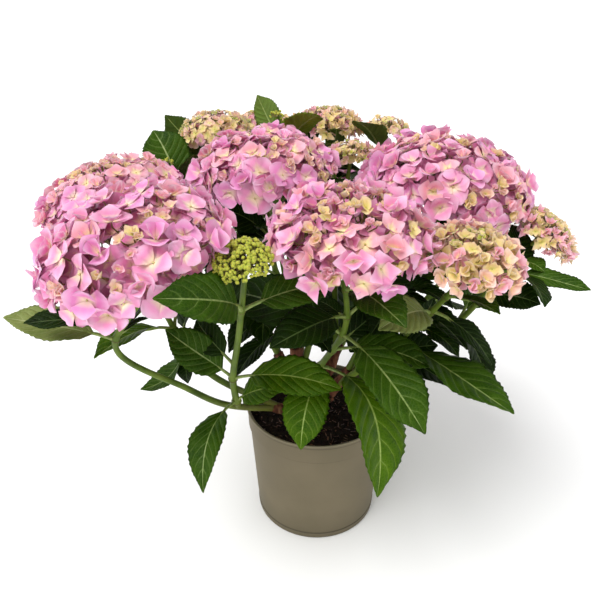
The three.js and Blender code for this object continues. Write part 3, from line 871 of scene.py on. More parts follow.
def blade_faces():
    """The quads of both skins, and the slot of each: upper skin, vein, underside or midrib."""
    faces = []
    slots = []
    lower = len(ROWS) * WIDE
    middle = WIDE // 2
    for r in range(len(ROWS) - 1):
        between = ROWS[r].vein_side == -1 and ROWS[r + 1].vein_side == 1
        for c in range(WIDE - 1):
            corner = r * WIDE + c
            quad = (corner, corner + 1, corner + WIDE + 1, corner + WIDE)
            on_midrib = c in (middle - 1, middle)
            on_lateral = between and 0 < c < WIDE - 2
            faces.append(quad)
            slots.append(3 if on_midrib else 1 if on_lateral else 0)
            faces.append(tuple(lower + i for i in reversed(quad)))
            slots.append(3 if on_midrib else 1 if on_lateral else 2)
    return faces, slots


BLADE_FACES, BLADE_SLOTS = blade_faces()
print("rows:", len(ROWS), "columns:", WIDE, "faces a leaf:", len(BLADE_FACES))

# %% [markdown]
# ## Bending the grid into a leaf
# A leaf's own three directions come from its root and tip: along, the way it faces, and across.
# Its midline is a low arch, its two halves fold up from the midrib, and its margin waves. The
# petiole is a tube that runs on under the blade and thins out, which is what a midrib is.

# %% Leaves, petioles and midribs
PETIOLE_RADIUS = 1.9
RIB_TIP_RADIUS = 0.35
FOOT_SWELLING = 0.5
RIB_STEPS = 16


def leaf_directions(seat):
    along = (seat.tip - seat.root).normalized()
    outward = Vector((seat.tip.x, seat.tip.y, 0)).normalized()
    face = UP + outward * LEAF_FACING
    face = (face - along * face.dot(along)).normalized()
    face.rotate(Quaternion(along, math.radians(seat.turn)))
    return along, face, along.cross(face)


def midline(seat, share):
    along, face, across = leaf_directions(seat)
    length = (seat.tip - seat.root).length
    side = seat.sway * length * math.sin(math.pi * share) * share
    lift = seat.arch * length * 4 * share * (1 - share)
    return seat.root + along * share * length + face * lift + across * side


def blade_spots(seat):
    """Places over a blade: along its midrib, and half way out on both sides of it."""
    across = leaf_directions(seat)[2] * seat.width * (seat.tip - seat.root).length / 4
    return [midline(seat, k / 8) + across * side for k in range(2, 9) for side in (-1, 0, 1)]


LAID_SPOTS = [spot for seat in laid_seats for spot in blade_spots(seat)]


def leaf_points(seat, dice):
    """The corners of one blade, its upper skin and then its lower one, in metres."""
    along, face, across = (np.array(d) for d in leaf_directions(seat))
    length = (seat.tip - seat.root).length
    share = PETIOLE_SHARE + (1 - PETIOLE_SHARE) * BLADE_SHARE
    half = seat.width * length * (1 - PETIOLE_SHARE) / 2 * BLADE_WIDTH * TOOTHED
    sideways = half * ACROSS[None, :] + seat.sway * length * np.sin(np.pi * share) * share
    phase = dice.uniform(*WAVE_COUNTS) * BLADE_SHARE + dice.uniform(0, 6)
    waves = np.sin(phase + SIDES_OUT_OF_STEP * (ACROSS[None, :] > 0))
    lift = seat.arch * length * 4 * share * (1 - share)
    lift = lift + half * LEAF_FOLD * reach ** 1.4
    lift = lift + QUILT * length * QUILTED
    lift = lift - GROOVE * np.exp(-(reach / GROOVE_WIDTH) ** 2) * (BLADE_WIDTH > 0)
    lift = lift + MARGIN_WAVE * length * waves * reach ** 2 * BLADE_WIDTH
    upper = (np.array(seat.root) + along * (share * length)[..., None]
             + across * sideways[..., None] + face * lift[..., None])
    edge = (reach >= 1) | (BLADE_WIDTH <= 0)
    lower = upper - face * np.where(edge, 0, BLADE_THICKNESS)[..., None]
    return np.concatenate([upper.reshape(-1, 3), lower.reshape(-1, 3)]) * MM


def leaf_finish(name, dark, light, vein_tint, roughness):
    """A leaf's upper skin: mottled green, lighter by the veins, with a network in its relief."""
    made = Finish(name, roughness=roughness, specular_ior_level=0.08)
    mottle = made.noise(45, 4)
    network = made.node(
        "ShaderNodeTexVoronoi", {"Vector": made.place, "Scale": 300}, feature="DISTANCE_TO_EDGE")
    body = made.ramp(mottle, (0.3, dark), (0.72, light))
    near_vein = made.attribute("near_vein") ** 3
    cells = made.mask(network, 0.12, 0)
    veined = made.mix(near_vein * 0.35 + cells * 0.18, body, vein_tint)
    made.bump(network + mottle * 0.4, 0.6, 0.0012)
    return made.vary(base_color=veined, roughness=roughness - 0.08 + mottle * 0.16)


def vein_finish(name, thin, thick):
    return grainy(name, thin, thick, 260, 2, 0.5, (0.2, 0.0004))


# What each tint of leaf is painted with: dark and light of its upper side, its veins, its
# underside and its midrib.
LEAF_TINTS = {
    "dark": shades((8, 24, 0), (24, 46, 1), (52, 76, 20), (66, 82, 32), (78, 100, 40)),
    "mid": shades((30, 58, 1), (54, 84, 8), (96, 122, 48), (88, 106, 46), (142, 160, 92)),
    "bright": shades((44, 78, 0), (70, 102, 3), (112, 138, 38), (96, 116, 38), (150, 172, 84)),
    "pale": shades((106, 120, 60), (130, 142, 80), (152, 162, 102), (130, 142, 80), (160, 168, 112)),
}

leaf_pieces = []
rib_strands = []

for tint, (deep, light, vein, under, rib) in LEAF_TINTS.items():
    chosen = [seat for seat in seats if seat.tint == tint]
    wave_dice = random.Random(len(chosen))
    clouds = [leaf_points(seat, wave_dice) for seat in chosen]
    step = len(clouds[0])
    faces = [tuple(k * step + i for i in quad) for k in range(len(chosen)) for quad in BLADE_FACES]
    finishes = [
        leaf_finish(f"leaf_{tint}", deep, light, vein, 0.44),
        vein_finish(f"leaf_{tint}_veins", vein, light),
        leaf_finish(f"leaf_{tint}_underside", under, vein, vein, 0.6),
        vein_finish(f"leaf_{tint}_midribs", rib, vein),
    ]
    slots = BLADE_SLOTS * len(chosen)
    piece = mesh_object(f"leaves_{tint}", np.concatenate(clouds), faces, finishes, slots)
    nearness = np.broadcast_to(1 - bulge, BLADE_SHARE.shape).ravel()
    store(piece.data, "near_vein", "FLOAT", "POINT", np.tile(nearness, 2 * len(chosen)))
    sewn = bmesh.new()
    sewn.from_mesh(piece.data)
    bmesh.ops.remove_doubles(sewn, verts=sewn.verts, dist=1e-6)
    sewn.to_mesh(piece.data)
    sewn.free()
    leaf_pieces.append(piece)
    print(piece.name, "leaves:", len(chosen), "faces:", len(piece.data.polygons))

rib_shares = [i / RIB_STEPS for i in range(RIB_STEPS)]
for seat in seats:
    face = leaf_directions(seat)[1]
    places = []
    radii = []
    for share in rib_shares:
        blade = max(0, (share - PETIOLE_SHARE) / (1 - PETIOLE_SHARE))
        radius = mix(PETIOLE_RADIUS, RIB_TIP_RADIUS, blade ** 0.6) * (1 + FOOT_SWELLING * (1 - share) ** 14)
        sunk = (radius + GROOVE) * min(1, blade * 8)
        places.append(midline(seat, share) - face * sunk)
        radii.append(radius)
    rib_strands.append(Strand(places, radii))

petiole_finish = vein_finish("petiole_skin", *shades((104, 126, 52), (142, 158, 80)))
petioles = swept("petioles_and_midribs", rib_strands, 7, petiole_finish)

# %% [markdown]
# ## One floret
# What looks like petals are four broad sepals round a bead. The two inner ones are a little
# smaller and stand up from the outer two. An open floret is nearly flat, and a young one is still
# cupped. Nearly three thousand are needed, so a sepal has only ten faces above and four below.
# Smooth shading rounds it, and its rim is marked as a sharp edge, which keeps it crisp.

# %% Shapes of florets
SEPALS = 4
SEPAL_LEAN = 7
SEPAL_TWIST = 0.12
SEPAL_THICKNESS = 0.09
INNER_SEPAL = 0.86
INNER_RISE = 0.05
BEAD_SIDES = 5
BEAD_RADIUS = 0.06
BEAD_HEIGHT = 0.12
BUD_HEIGHT = 1.9
COLUMN_PLACES = (-1, -0.5, 0, 0.5, 1)
SEPAL_ZONE, THROAT_ZONE, BEAD_ZONE = 0, 1, 2

# The slope of the outer and of the inner sepals at their throat and at their tip, in degrees,
# then how much a sepal ripples, how far its tip is drawn out to a point, its width, and how much
# it is hollowed like a spoon.
Form = namedtuple("Form", "outer inner ripple point girth spoon")
FORMS = {
    "open": (
        Form((6, -14), (24, 6), 0.05, 0.1, 1, 0.3), Form((14, 16), (42, 44), 0.05, 0.12, 1, 0.45),
        Form((4, -26), (34, -8), 0.08, 0.12, 1, 0.3), Form((22, 38), (56, 72), 0.04, 0.1, 1, 0.6)),
    "pointed": (
        Form((8, -22), (30, 4), 0.09, 0.34, 0.94, 0.35), Form((18, 10), (44, 36), 0.09, 0.3, 0.94, 0.5),
        Form((24, 34), (58, 66), 0.06, 0.28, 0.92, 0.6)),
    "cupped": (
        Form((26, 44), (46, 72), 0.06, 0.14, 0.94, 0.6), Form((38, 62), (58, 86), 0.06, 0.16, 0.92, 0.6),
        Form((18, 24), (38, 54), 0.07, 0.24, 0.9, 0.5)),
    "starry": (
        Form((26, 8), (48, 44), 0.06, 0.46, 0.8, 0.55), Form((48, 52), (62, 86), 0.05, 0.42, 0.78, 0.6)),
}


def sepal_profile(out, slopes):
    """Where a sepal's midline has got to, and its slope there: it bends evenly on its way out."""
    first, last = (math.radians(angle) for angle in slopes)
    bend = last - first
    slope = first + bend * out
    return (math.sin(slope) - math.sin(first)) / bend, (math.cos(first) - math.cos(slope)) / bend, slope


class Shape:
    """Corners with their share of the way out, faces with their zone, and the corners of edges."""

    def __init__(self):
        self.corners = []
        self.shares = []
        self.faces = []
        self.zones = []
        self.rims = []

    def add_sepal(self, turn, size, rise, slopes, form, phase):
        # Each spot is a way out along the sepal and a way to its side: the foot, a row at the throat,
        # one at the waist, one along the tip, and the keel below.
        first = len(self.corners)
        wide = form.girth
        spots = [(0.03, 0)]
        spots += [(0.2, 0.3 * wide * c) for c in (-1, 0, 1)]
        spots += [(0.62 - 0.06 * abs(c), 0.63 * wide * c) for c in COLUMN_PLACES]
        spots += [(1.02 + form.point * 0.5 - (0.12 + form.point) * abs(c) ** 1.4, 0.4 * wide * c)
                  for c in COLUMN_PLACES]
        spots.append((0.5, 0))
        keel = len(spots) - 1
        for i, (out, side) in enumerate(spots):
            along, up, slope = sepal_profile(out, slopes)
            proud = rise * min(1, out / 0.5) + form.spoon * side * side
            proud += form.ripple * math.sin(9 * side + 5 * out + phase) * out
            proud -= SEPAL_THICKNESS if i == keel else 0
            corner = Vector((along - math.sin(slope) * proud, side, up + math.cos(slope) * proud)) * size
            corner.rotate(Euler((0, 0, turn)))
            self.corners.append(corner)
            self.shares.append(out)
        upper = [(0, 1, 2), (0, 2, 3), (1, 4, 5), (1, 5, 6, 2), (2, 6, 7, 3), (3, 7, 8)]
        upper += [(c, c + 5, c + 6, c + 1) for c in range(4, 8)]
        lower = [(0, keel, 4, 1), (0, 3, 8, keel), (keel, 11, 10, 9, 4), (keel, 8, 13, 12, 11)]
        self.faces += [tuple(first + i for i in face) for face in upper + lower]
        self.zones += [THROAT_ZONE] * 2 + [SEPAL_ZONE] * (len(upper) + len(lower) - 2)
        outline = (0, 1, 4, 9, 10, 11, 12, 13, 8, 3)
        self.rims += [{first + a, first + b} for a, b in zip(outline, outline[1:] + outline[:1])]

    def add_bud(self, radius, height, zone):
        """A closed bud: two belts of corners between two points."""
        first = len(self.corners)
        belt = [2 * math.pi * i / BEAD_SIDES for i in range(BEAD_SIDES)]
        for drop, girth in ((0.25, 0.75), (0.62, 1)):
            self.corners += [
                Vector((math.cos(a) * radius * girth, math.sin(a) * radius * girth, height * drop))
                for a in belt]
        self.corners += [Vector((0, 0, 0)), Vector((0, 0, height))]
        self.shares += [0] * (2 * BEAD_SIDES + 2)
        foot, top = len(self.corners) - 2, len(self.corners) - 1
        for i in range(BEAD_SIDES):
            here, beside = first + i, first + (i + 1) % BEAD_SIDES
            self.faces.append((foot, beside, here))
            self.faces.append((here, beside, beside + BEAD_SIDES, here + BEAD_SIDES))
            self.faces.append((here + BEAD_SIDES, beside + BEAD_SIDES, top))
        self.zones += [zone] * (3 * BEAD_SIDES)

    def into(self, collection, name):
        mesh = bpy.data.meshes.new(name)
        mesh.from_pydata(self.corners, [], self.faces)
        mesh.polygons.foreach_set("use_smooth", [True] * len(self.faces))
        crisp = [set(edge.vertices) in self.rims for edge in mesh.edges]
        store(mesh, "sharp_edge", "BOOLEAN", "EDGE", crisp)
        store(mesh, "zone", "INT", "FACE", self.zones)
        store(mesh, "out", "FLOAT", "POINT", self.shares)
        collection.objects.link(bpy.data.objects.new(name, mesh))


floret_shapes = bpy.data.collections.new("floret_shapes")
shape_dice = random.Random(5)
SHAPES_OF = {}
number = 0
for habit, forms in FORMS.items():
    SHAPES_OF[habit] = range(number, number + len(forms))
    for form in forms:
        shape = Shape()
        for k in range(SEPALS):
            inner = k % 2 == 0
            lean = shape_dice.uniform(-SEPAL_LEAN, SEPAL_LEAN)
            slopes = [angle + lean for angle in (form.inner if inner else form.outer)]
            shape.add_sepal(
                2 * math.pi / SEPALS * k + shape_dice.uniform(-SEPAL_TWIST, SEPAL_TWIST),
                INNER_SEPAL if inner else 1,
                INNER_RISE if inner else 0, slopes, form, shape_dice.uniform(0, 6))
        shape.add_bud(BEAD_RADIUS, BEAD_HEIGHT, BEAD_ZONE)
        shape.into(floret_shapes, f"floret_{number:02}")
        number += 1
BUD_SHAPE = number
closed_bud = Shape()
closed_bud.add_bud(1, BUD_HEIGHT, SEPAL_ZONE)
closed_bud.into(floret_shapes, f"floret_{number:02}")

# %% [markdown]
# ## Where the florets sit
# The head is a dome, and sunflower spacing covers it evenly: each floret is one golden angle on
# from the last. Two or three layers lie one below the other, and the deeper ones fill the gaps. The
# outer florets of a head open first, so the middle of a dome has young ones, and clusters of those
# peek out between the open ones everywhere. A green head is nothing but closed buds in small lumps.

# %% Florets of every head
GOLDEN_ANGLE = math.radians(137.508)
RIM_ANGLE = math.radians(96)
DOME_SHARE = 0.8
FLORET_FILL = 2.7
FLORET_TILT = 0.36
Floret = namedtuple("Floret", "place normal size shape colour flower")

# For each kind: the reach of its florets at the rim and in the middle, how far the first layer is
# sunk and the next ones drop below it as shares of that reach, how often a cluster of late ones
# sits among them and how large those are beside the others, how much of the dome each layer
# covers, and the colours.
Bloom = namedtuple("Bloom", "rim middle sink drop late late_sizes covers colours late_colours")
BLOOMS = {
    "open": Bloom(
        20, 17.5, 0.28, 0.5, 0.24, (0.36, 0.6), (1.6, 1.2, 1.2), ("pink", "pink", "orchid"),
        ("cream", "peach", "blush")),
    "half": Bloom(
        13.5, 10.5, 0.2, 0.85, 0.16, (0.5, 0.8), (2, 1.4, 0.9), ("peach", "cream", "cream", "blush"),
        ("cream", "cream", "lime")),
    "young": Bloom(
        9.5, 7, -0.2, 0.6, 0.3, (0.5, 0.75), (1.6, 1), ("cream", "peach", "cream"), ("lime", "cream")),
}
# What sets single heads apart: the share of the dome that its young middle takes, how often an
# open floret still blushes, the size of its florets, and the habit of their sepals.
Mood = namedtuple("Mood", "young blushing size habit", defaults=(1, "open"))
MOODS = {
    "front_left": Mood(0.05, 0.1),
    "far_left": Mood(0.24, 0.8, 0.76),
    "middle": Mood(0.1, 0.3),
    "front": Mood(0.34, 0.7, 0.96, "pointed"),
    "right": Mood(0.04, 0.35, 0.98),
    "right_front": Mood(0.2, 0.2, 1, "cupped"),
    "far_right": Mood(0.4, 0.1, 0.8, "starry"),
    "back": Mood(0.2, 0.2, 0.9, "starry"),
    "rear_left": Mood(0.1, 0.3),
    "side_right": Mood(0.3, 0.3, 1, "starry"),
}
USUAL_MOOD = Mood(0.16, 0.25)
LATE_REACH = 0.55
UNEVENNESS = 0.3
LATE_INSET = 0.1
LATE_BAND = (0.02, math.radians(84))
LATE_COUNTS = (2, 4)
LATE_FADE = 1.3
YOUNG_EDGE = (0.7, 1.2)
BLUSH_FADE = 1.35
LEAST_FLORETS = 5
PLACE_OF_A_CLUSTER = 0.5
GROWTH_TO_RIM = 1.4
LAID_ROOM = 0.85
HEAD_ROOM = 0.8
FLORET_ROOM = 0.3
SIZES_OF_OPEN = (0.8, 1.1)

Cluster = namedtuple("Cluster", "lumps buds size")
GREEN_HEAD = Cluster(44, 10, 2.2)
SPRIG_TIP = Cluster(6, 5, 1.5)
LUMP_SUNK = 3.2
BUD_LEAN = 0.9
BUD_REACHES = (1.6, 2.6)
BUD_SIZES = (0.75, 1.2)


def dome_polar(number, count):
    """The angle from a dome's top at which a numbered place lies, so that all share it evenly."""
    return math.acos(1 - ((number + 0.5) / count) * (1 - math.cos(RIM_ANGLE)))


def dome_frame(flower):
    axis = head_axis(flower)
    across = (Vector((1, 0, 0)) - axis * axis.x).normalized()
    return axis, across, axis.cross(across)


def dome_point(flower, polar, bearing, inset):
    axis, across, over = dome_frame(flower)
    reach = (flower.radius - inset) * math.sin(polar)
    return (flower.at + axis * (HEAD_RISE * flower.radius - inset) * math.cos(polar)
            + across * reach * math.cos(bearing) + over * reach * math.sin(bearing))


def dome_normal(flower, polar, bearing):
    step = 1e-3
    here = dome_point(flower, polar, bearing, 0)
    down = dome_point(flower, polar + step, bearing, 0) - here
    around = dome_point(flower, polar, bearing + step, 0) - here
    return down.cross(around).normalized()


def tilted(direction, amount, dice):
    shake = Vector((dice.uniform(-1, 1), dice.uniform(-1, 1), dice.uniform(-1, 1)))
    return (direction + shake * amount).normalized()


def is_free(name, place, size):
    """Whether a floret keeps off the other heads and off a leaf that lies on one."""
    for other, shoot in SHOOTS.items():
        head_reach = shoot.head.radius * HEAD_ROOM + size * FLORET_ROOM
        if other != name and (place - shoot.head.at).length < head_reach:
            return False
    return all((place - spot).length > size * LAID_ROOM for spot in LAID_SPOTS)


def bloom_florets(name, flower, dice):
    bloom = BLOOMS[flower.kind]
    mood = MOODS.get(name, USUAL_MOOD)
    rim = bloom.rim * mood.size
    area = 2 * math.pi * flower.radius ** 2 * DOME_SHARE

    def planted(polar, bearing, inset, size, habit, colour):
        normal = tilted(dome_normal(flower, polar, bearing), FLORET_TILT, dice)
        spot = dome_point(flower, polar, bearing, inset)
        shape = dice.choice(SHAPES_OF[habit])
        return [Floret(spot, normal, size, shape, colour, name)] if is_free(name, spot, size) else []

    for layer, cover in enumerate(bloom.covers):
        count = max(LEAST_FLORETS, round(cover * area / (FLORET_FILL * rim ** 2)))
        place = 0.0
        i = 0
        while place < count:
            polar = dome_polar(place, count)
            bearing = i * GOLDEN_ANGLE + layer
            share = polar / RIM_ANGLE
            inset = (bloom.sink + layer * bloom.drop + dice.uniform(0, UNEVENNESS)) * rim
            size = mix(bloom.middle * mood.size, rim, min(1, share * GROWTH_TO_RIM))
            size *= dice.uniform(*SIZES_OF_OPEN)
            young = share < mood.young * dice.uniform(*YOUNG_EDGE)
            late = young or dice.random() < bloom.late * (LATE_FADE - share)
            if late and layer == 0:
                for k in range(dice.randint(*LATE_COUNTS)):
                    shift = LATE_REACH * rim / flower.radius
                    beside = min(max(LATE_BAND[0], polar + dice.uniform(-shift, shift)), LATE_BAND[1])
                    around = bearing + dice.uniform(-shift, shift) / max(0.3, math.sin(polar))
                    yield from planted(
                        beside, around, (bloom.sink + LATE_INSET) * rim,
                        size * dice.uniform(*bloom.late_sizes), "cupped", dice.choice(bloom.late_colours))
                place += PLACE_OF_A_CLUSTER
            else:
                colour = dice.choice(bloom.colours)
                # Painted shade: pink and orchid florets below the top layer take a darker pink.
                if layer and colour in ("pink", "orchid"):
                    colour = "rose"
                elif dice.random() < mood.blushing * (BLUSH_FADE - share):
                    colour = "blush"
                yield from planted(polar, bearing, inset, size, mood.habit, colour)
                place += 1
            i += 1


def bud_florets(name, flower, dice, cluster):
    """Lumps of closed buds on a dome, each a few buds round a sunken middle."""
    for lump in range(cluster.lumps):
        polar = dome_polar(lump, cluster.lumps)
        bearing = lump * GOLDEN_ANGLE
        middle = dome_point(flower, polar, bearing, LUMP_SUNK * cluster.size)
        out = dome_normal(flower, polar, bearing)
        for k in range(cluster.buds):
            lean = tilted(out, BUD_LEAN, dice)
            place = middle + lean * cluster.size * dice.uniform(*BUD_REACHES)
            size = cluster.size * dice.uniform(*BUD_SIZES)
            yield Floret(place, lean, size, BUD_SHAPE, "lime", name)


florets = []
for name, shoot in SHOOTS.items():
    dice = random.Random(sum(map(ord, name)))
    if shoot.head.kind in BLOOMS:
        florets += bloom_florets(name, shoot.head, dice)
    elif shoot.head.kind == "green":
        florets += bud_florets(name, shoot.head, dice, GREEN_HEAD)
    else:
        florets += bud_florets(name, shoot.head, dice, SPRIG_TIP)
print("florets:", len(florets), "closed buds:", sum(one.shape == BUD_SHAPE for one in florets))

# %% [markdown]
# ## Growing the florets
# A rule in Geometry Nodes sets one of the shapes on each place, turned and sized by attributes
# of that place, with a small sway from a fixed seed. Realize Instances makes real faces of them,
# and three Set Material nodes paint the sepals, their throats and the beads by zone.

# %% The floret rule
FLORET_SEED = 12
FLORET_SWAY = 0.12
floret_rule = Rule(
    "set_florets", Shapes="NodeSocketCollection", Sway="NodeSocketFloat", Sepal="NodeSocketMaterial",
    Throat="NodeSocketMaterial", Bead="NodeSocketMaterial")
shapes_of = floret_rule.node("GeometryNodeCollectionInfo", {
    "Collection": floret_rule.given.other("Shapes"), "Separate Children": True, "Reset Children": True})
swing = floret_rule.random_vector((-1, -1, -1), (1, 1, 1), FLORET_SEED)
swing = floret_rule.node(
    "ShaderNodeVectorMath", {"Vector": swing, "Scale": floret_rule.given.other("Sway")}, operation="SCALE")
swayed = floret_rule.node("FunctionNodeRotateRotation", {
    "Rotation": floret_rule.turn(floret_rule.read("FLOAT_VECTOR", "turn")),
    "Rotate By": floret_rule.turn(swing),
}, rotation_space="LOCAL")
planted = floret_rule.node("GeometryNodeInstanceOnPoints", {
    "Points": floret_rule.given.other("Geometry"),
    "Instance": shapes_of,
    "Pick Instance": True,
    "Instance Index": floret_rule.read("INT", "shape"),
    "Rotation": swayed,
    "Scale": floret_rule.read("FLOAT", "size"),
})
coloured = floret_rule.painted(floret_rule.realized(planted), "Sepal")
for zone, key in ((THROAT_ZONE, "Throat"), (BEAD_ZONE, "Bead")):
    chosen = floret_rule.node(
        "FunctionNodeCompare", {2: floret_rule.read("INT", "zone"), 3: zone},
        data_type="INT", operation="EQUAL")
    coloured = floret_rule.painted(coloured, key, chosen)
floret_rule.end(coloured)

# %% [markdown]
# ## Colours of the blossom
# A sepal is cream in the throat, takes its colour on the way out and is palest at its rim, and each
# floret has its own depth of that colour. The gradient follows an attribute that each shape carries
# outwards, and the depth is another that each floret's place was given, so no picture is needed.

# %% Sepal finishes
THROAT_END = 0.2
BODY_START = 0.48
# For each colour: throat, body, deep body and rim of a sepal, then the bead.
BLOSSOM = {
    "pink": shades((246, 220, 186), (240, 160, 198), (230, 138, 180), (248, 196, 226), (226, 216, 150)),
    "orchid": shades((244, 212, 192), (232, 146, 196), (220, 126, 182), (244, 184, 220), (222, 208, 146)),
    # Painted shade: a darker pink, only for the pink and orchid florets of the deeper layers.
    "rose": shades((236, 190, 164), (226, 138, 180), (208, 112, 158), (234, 164, 200), (214, 196, 130)),
    "blush": shades((248, 226, 168), (242, 172, 184), (234, 152, 166), (248, 192, 212), (214, 204, 120)),
    "peach": shades((244, 226, 150), (242, 198, 166), (238, 178, 156), (248, 204, 196), (204, 200, 104)),
    "cream": shades((226, 214, 118), (238, 214, 146), (230, 194, 128), (244, 206, 168), (196, 194, 92)),
    "lime": shades((172, 176, 60), (196, 196, 80), (166, 172, 58), (216, 212, 116), (188, 188, 68)),
}


def sepal_finish(name, throat, body, deep, rim):
    made = Finish(
        name, roughness=0.5, specular_ior_level=0.25, sheen_weight=0.1, subsurface_weight=0.4,
        subsurface_radius=(1, 0.6, 0.8), subsurface_scale=0.004)
    mottle = made.noise(90, 3)
    outward = made.attribute("out")
    depth = made.attribute("depth")
    own = made.mix(depth * 0.7 + mottle * 0.3, body, deep)
    pale = made.mix(made.mask(outward, 0.6, 1) * 0.8, own, rim)
    glow = made.mask(outward, BODY_START, THROAT_END)
    colour = made.mix(glow * 0.9, pale, throat)
    made.bump(made.noise(420, 2), 0.25, 0.0006)
    return made.vary(base_color=colour, roughness=0.46 + mottle * 0.14)


def shaded(colour, share):
    return (*(part * share for part in colour[:3]), 1)


def floret_piece(colour, chosen):
    """One piece of all the florets of a colour."""
    throat, body, deep, rim, bead = BLOSSOM[colour]
    dice = random.Random(len(chosen))
    points = bpy.data.meshes.new(f"places_{colour}")
    points.from_pydata([one.place * MM for one in chosen], [], [])
    turns = []
    for one in chosen:
        turn = Quaternion(one.normal, dice.uniform(0, 2 * math.pi)) @ one.normal.to_track_quat("Z", "X")
        turns += list(turn.to_euler())
    store(points, "turn", "FLOAT_VECTOR", "POINT", turns)
    store(points, "size", "FLOAT", "POINT", [one.size * MM for one in chosen])
    store(points, "shape", "INT", "POINT", [one.shape for one in chosen])
    store(points, "depth", "FLOAT", "POINT", [dice.random() for one in chosen])
    piece = grown(
        placed(points.name, points), floret_rule, f"blossom_{colour}",
        Shapes=floret_shapes, Sway=FLORET_SWAY,
        Sepal=sepal_finish(f"sepals_{colour}", throat, body, deep, rim),
        Throat=grainy(f"throats_{colour}", shaded(throat, 0.9), throat),
        Bead=grainy(f"beads_{colour}", shaded(bead, 0.7), bead))
    triangles = sum(len(face.vertices) - 2 for face in piece.data.polygons)
    print(piece.name, "florets:", len(chosen), "triangles:", triangles)
    return piece


blossom_pieces = [
    floret_piece(colour, [one for one in florets if one.colour == colour]) for colour in BLOSSOM]

# %% [markdown]
# ## The stalks inside a head
# A head isn't a ball with florets stuck on it. Its stem parts under the dome into a few branches,
# and each branch into thin stalks, one for every floret. They show in the gaps, so they are grown
# from the same places, each from the nearest branch, as strands of the sweeping rule.

# %% Stalks of the florets
BRANCH_SHARE = 0.5
FLORETS_A_BRANCH = 7
BRANCH_RADIUS = 1.5
BRANCH_END_RADIUS = 1
STALK_RADIUS = 0.75
STALK_SIDES = 5

stalk_strands = []
for name, shoot in SHOOTS.items():
    mine = [one for one in florets if one.flower == name]
    hub = hub_of(shoot.head)
    count = max(2, len(mine) // FLORETS_A_BRANCH)
    forks = [mix(hub, mine[i * len(mine) // count].place, BRANCH_SHARE) for i in range(count)]
    for fork in forks:
        radii = [BRANCH_RADIUS, BRANCH_RADIUS, BRANCH_END_RADIUS]
        stalk_strands.append(Strand([hub, mix(hub, fork, 0.5), fork], radii))
    for one in mine:
        fork = min(forks, key=lambda spot: (spot - one.place).length)
        back = one.place - one.normal * one.size * 0.3
        thick = min(STALK_RADIUS, one.size * 0.2)
        places = [fork, mix(fork, back, 0.6), back, one.place]
        stalk_strands.append(Strand(places, [thick] * 3 + [thick * 0.6]))

stalk_finish = grainy("floret_stalk_skin", *shades((126, 106, 62), (124, 124, 56)), 60)
pedicels = swept("floret_stalks", stalk_strands, STALK_SIDES, stalk_finish)

for made in list(floret_shapes.objects):
    bpy.data.objects.remove(made)
bpy.data.collections.remove(floret_shapes)

# %% [markdown]
# ## The woody stock
# Old wood rises from the compost as one knotty crown and parts into arms, each from the cut end
# of an older stem. Separate tubes would leave a sharp crease where they meet, so crown and arms
# are laid in as overlapping tubes and a voxel Remesh skins them as one. Hydrangea bark peels in
# long strips, so the relief is noise that is stretched along each arm.

# %% Crown and arms
CROWN_RADIUS = 15
CROWN_HEIGHT = 30
ROOT_FLARE = 27
STOCK_SUNK = 6
ARM_STEPS = 18
ARM_SIDES = 20
KNOT_SIZE = 0.13
BARK_VOXEL = 1.5
BARK_RELIEF = 0.9
STUBS = (("front", 0.34, (24, -26, 10)), ("low_left", 0.5, (-6, -24, 16)), ("right", 0.4, (10, -26, 12)),
         ("left", 0.45, (-22, 12, 14)), ("back", 0.4, (-20, 18, 12)))
STUB_RADIUS = 3.6
STUB_END_RADIUS = 2.8


def knotted(radius, share, phase):
    """A radius that swells here and there, as old wood does at its buds."""
    return radius * (1 + KNOT_SIZE * math.sin(share * 13 + phase) * math.sin(share * 5 + 2 * phase))


bark_strands = []
crown_shares = [i / 6 for i in range(7)]
bark_strands.append(Strand(
    [STOCK_FOOT + UP * mix(-STOCK_SUNK, CROWN_HEIGHT, share) for share in crown_shares],
    [mix(ROOT_FLARE, CROWN_RADIUS, math.sqrt(share)) for share in crown_shares]))
for phase, arm in enumerate(ARMS):
    tip_radius = ARMS[arm][1]
    shares = [i / ARM_STEPS for i in range(ARM_STEPS + 1)]
    bark_strands.append(Strand(
        [arm_point(arm, share) for share in shares],
        [knotted(mix(ARM_FOOT_RADIUS, tip_radius, share), share, phase) for share in shares]))
for arm, share, reach in STUBS:
    foot = arm_point(arm, share)
    places = [foot, foot + Vector(reach) * 0.6, foot + Vector(reach)]
    bark_strands.append(Strand(places, [STUB_RADIUS, STUB_RADIUS, STUB_END_RADIUS]))

bark_finish = Finish("peeling_bark", roughness=0.85, specular_ior_level=0.2)
strips = bark_finish.noise(160, 5, (1, 1, 0.16))
flakes = bark_finish.noise(60, 4, (1, 1, 0.4))
BARK_SHADES = shades((58, 34, 26), (104, 62, 44), (134, 92, 66), (160, 124, 92))
bark_colour = bark_finish.ramp(strips, *zip((0.32, 0.5, 0.62, 0.74), BARK_SHADES))
bark_colour = bark_finish.mix(bark_finish.mask(flakes, 0.5, 0.7) * 0.5, bark_colour, linear(84, 44, 32))
bark_finish.bump(strips + flakes * 0.5, 0.7, 0.0012)
bark_finish.vary(base_color=bark_colour, roughness=0.75 + flakes * 0.2)

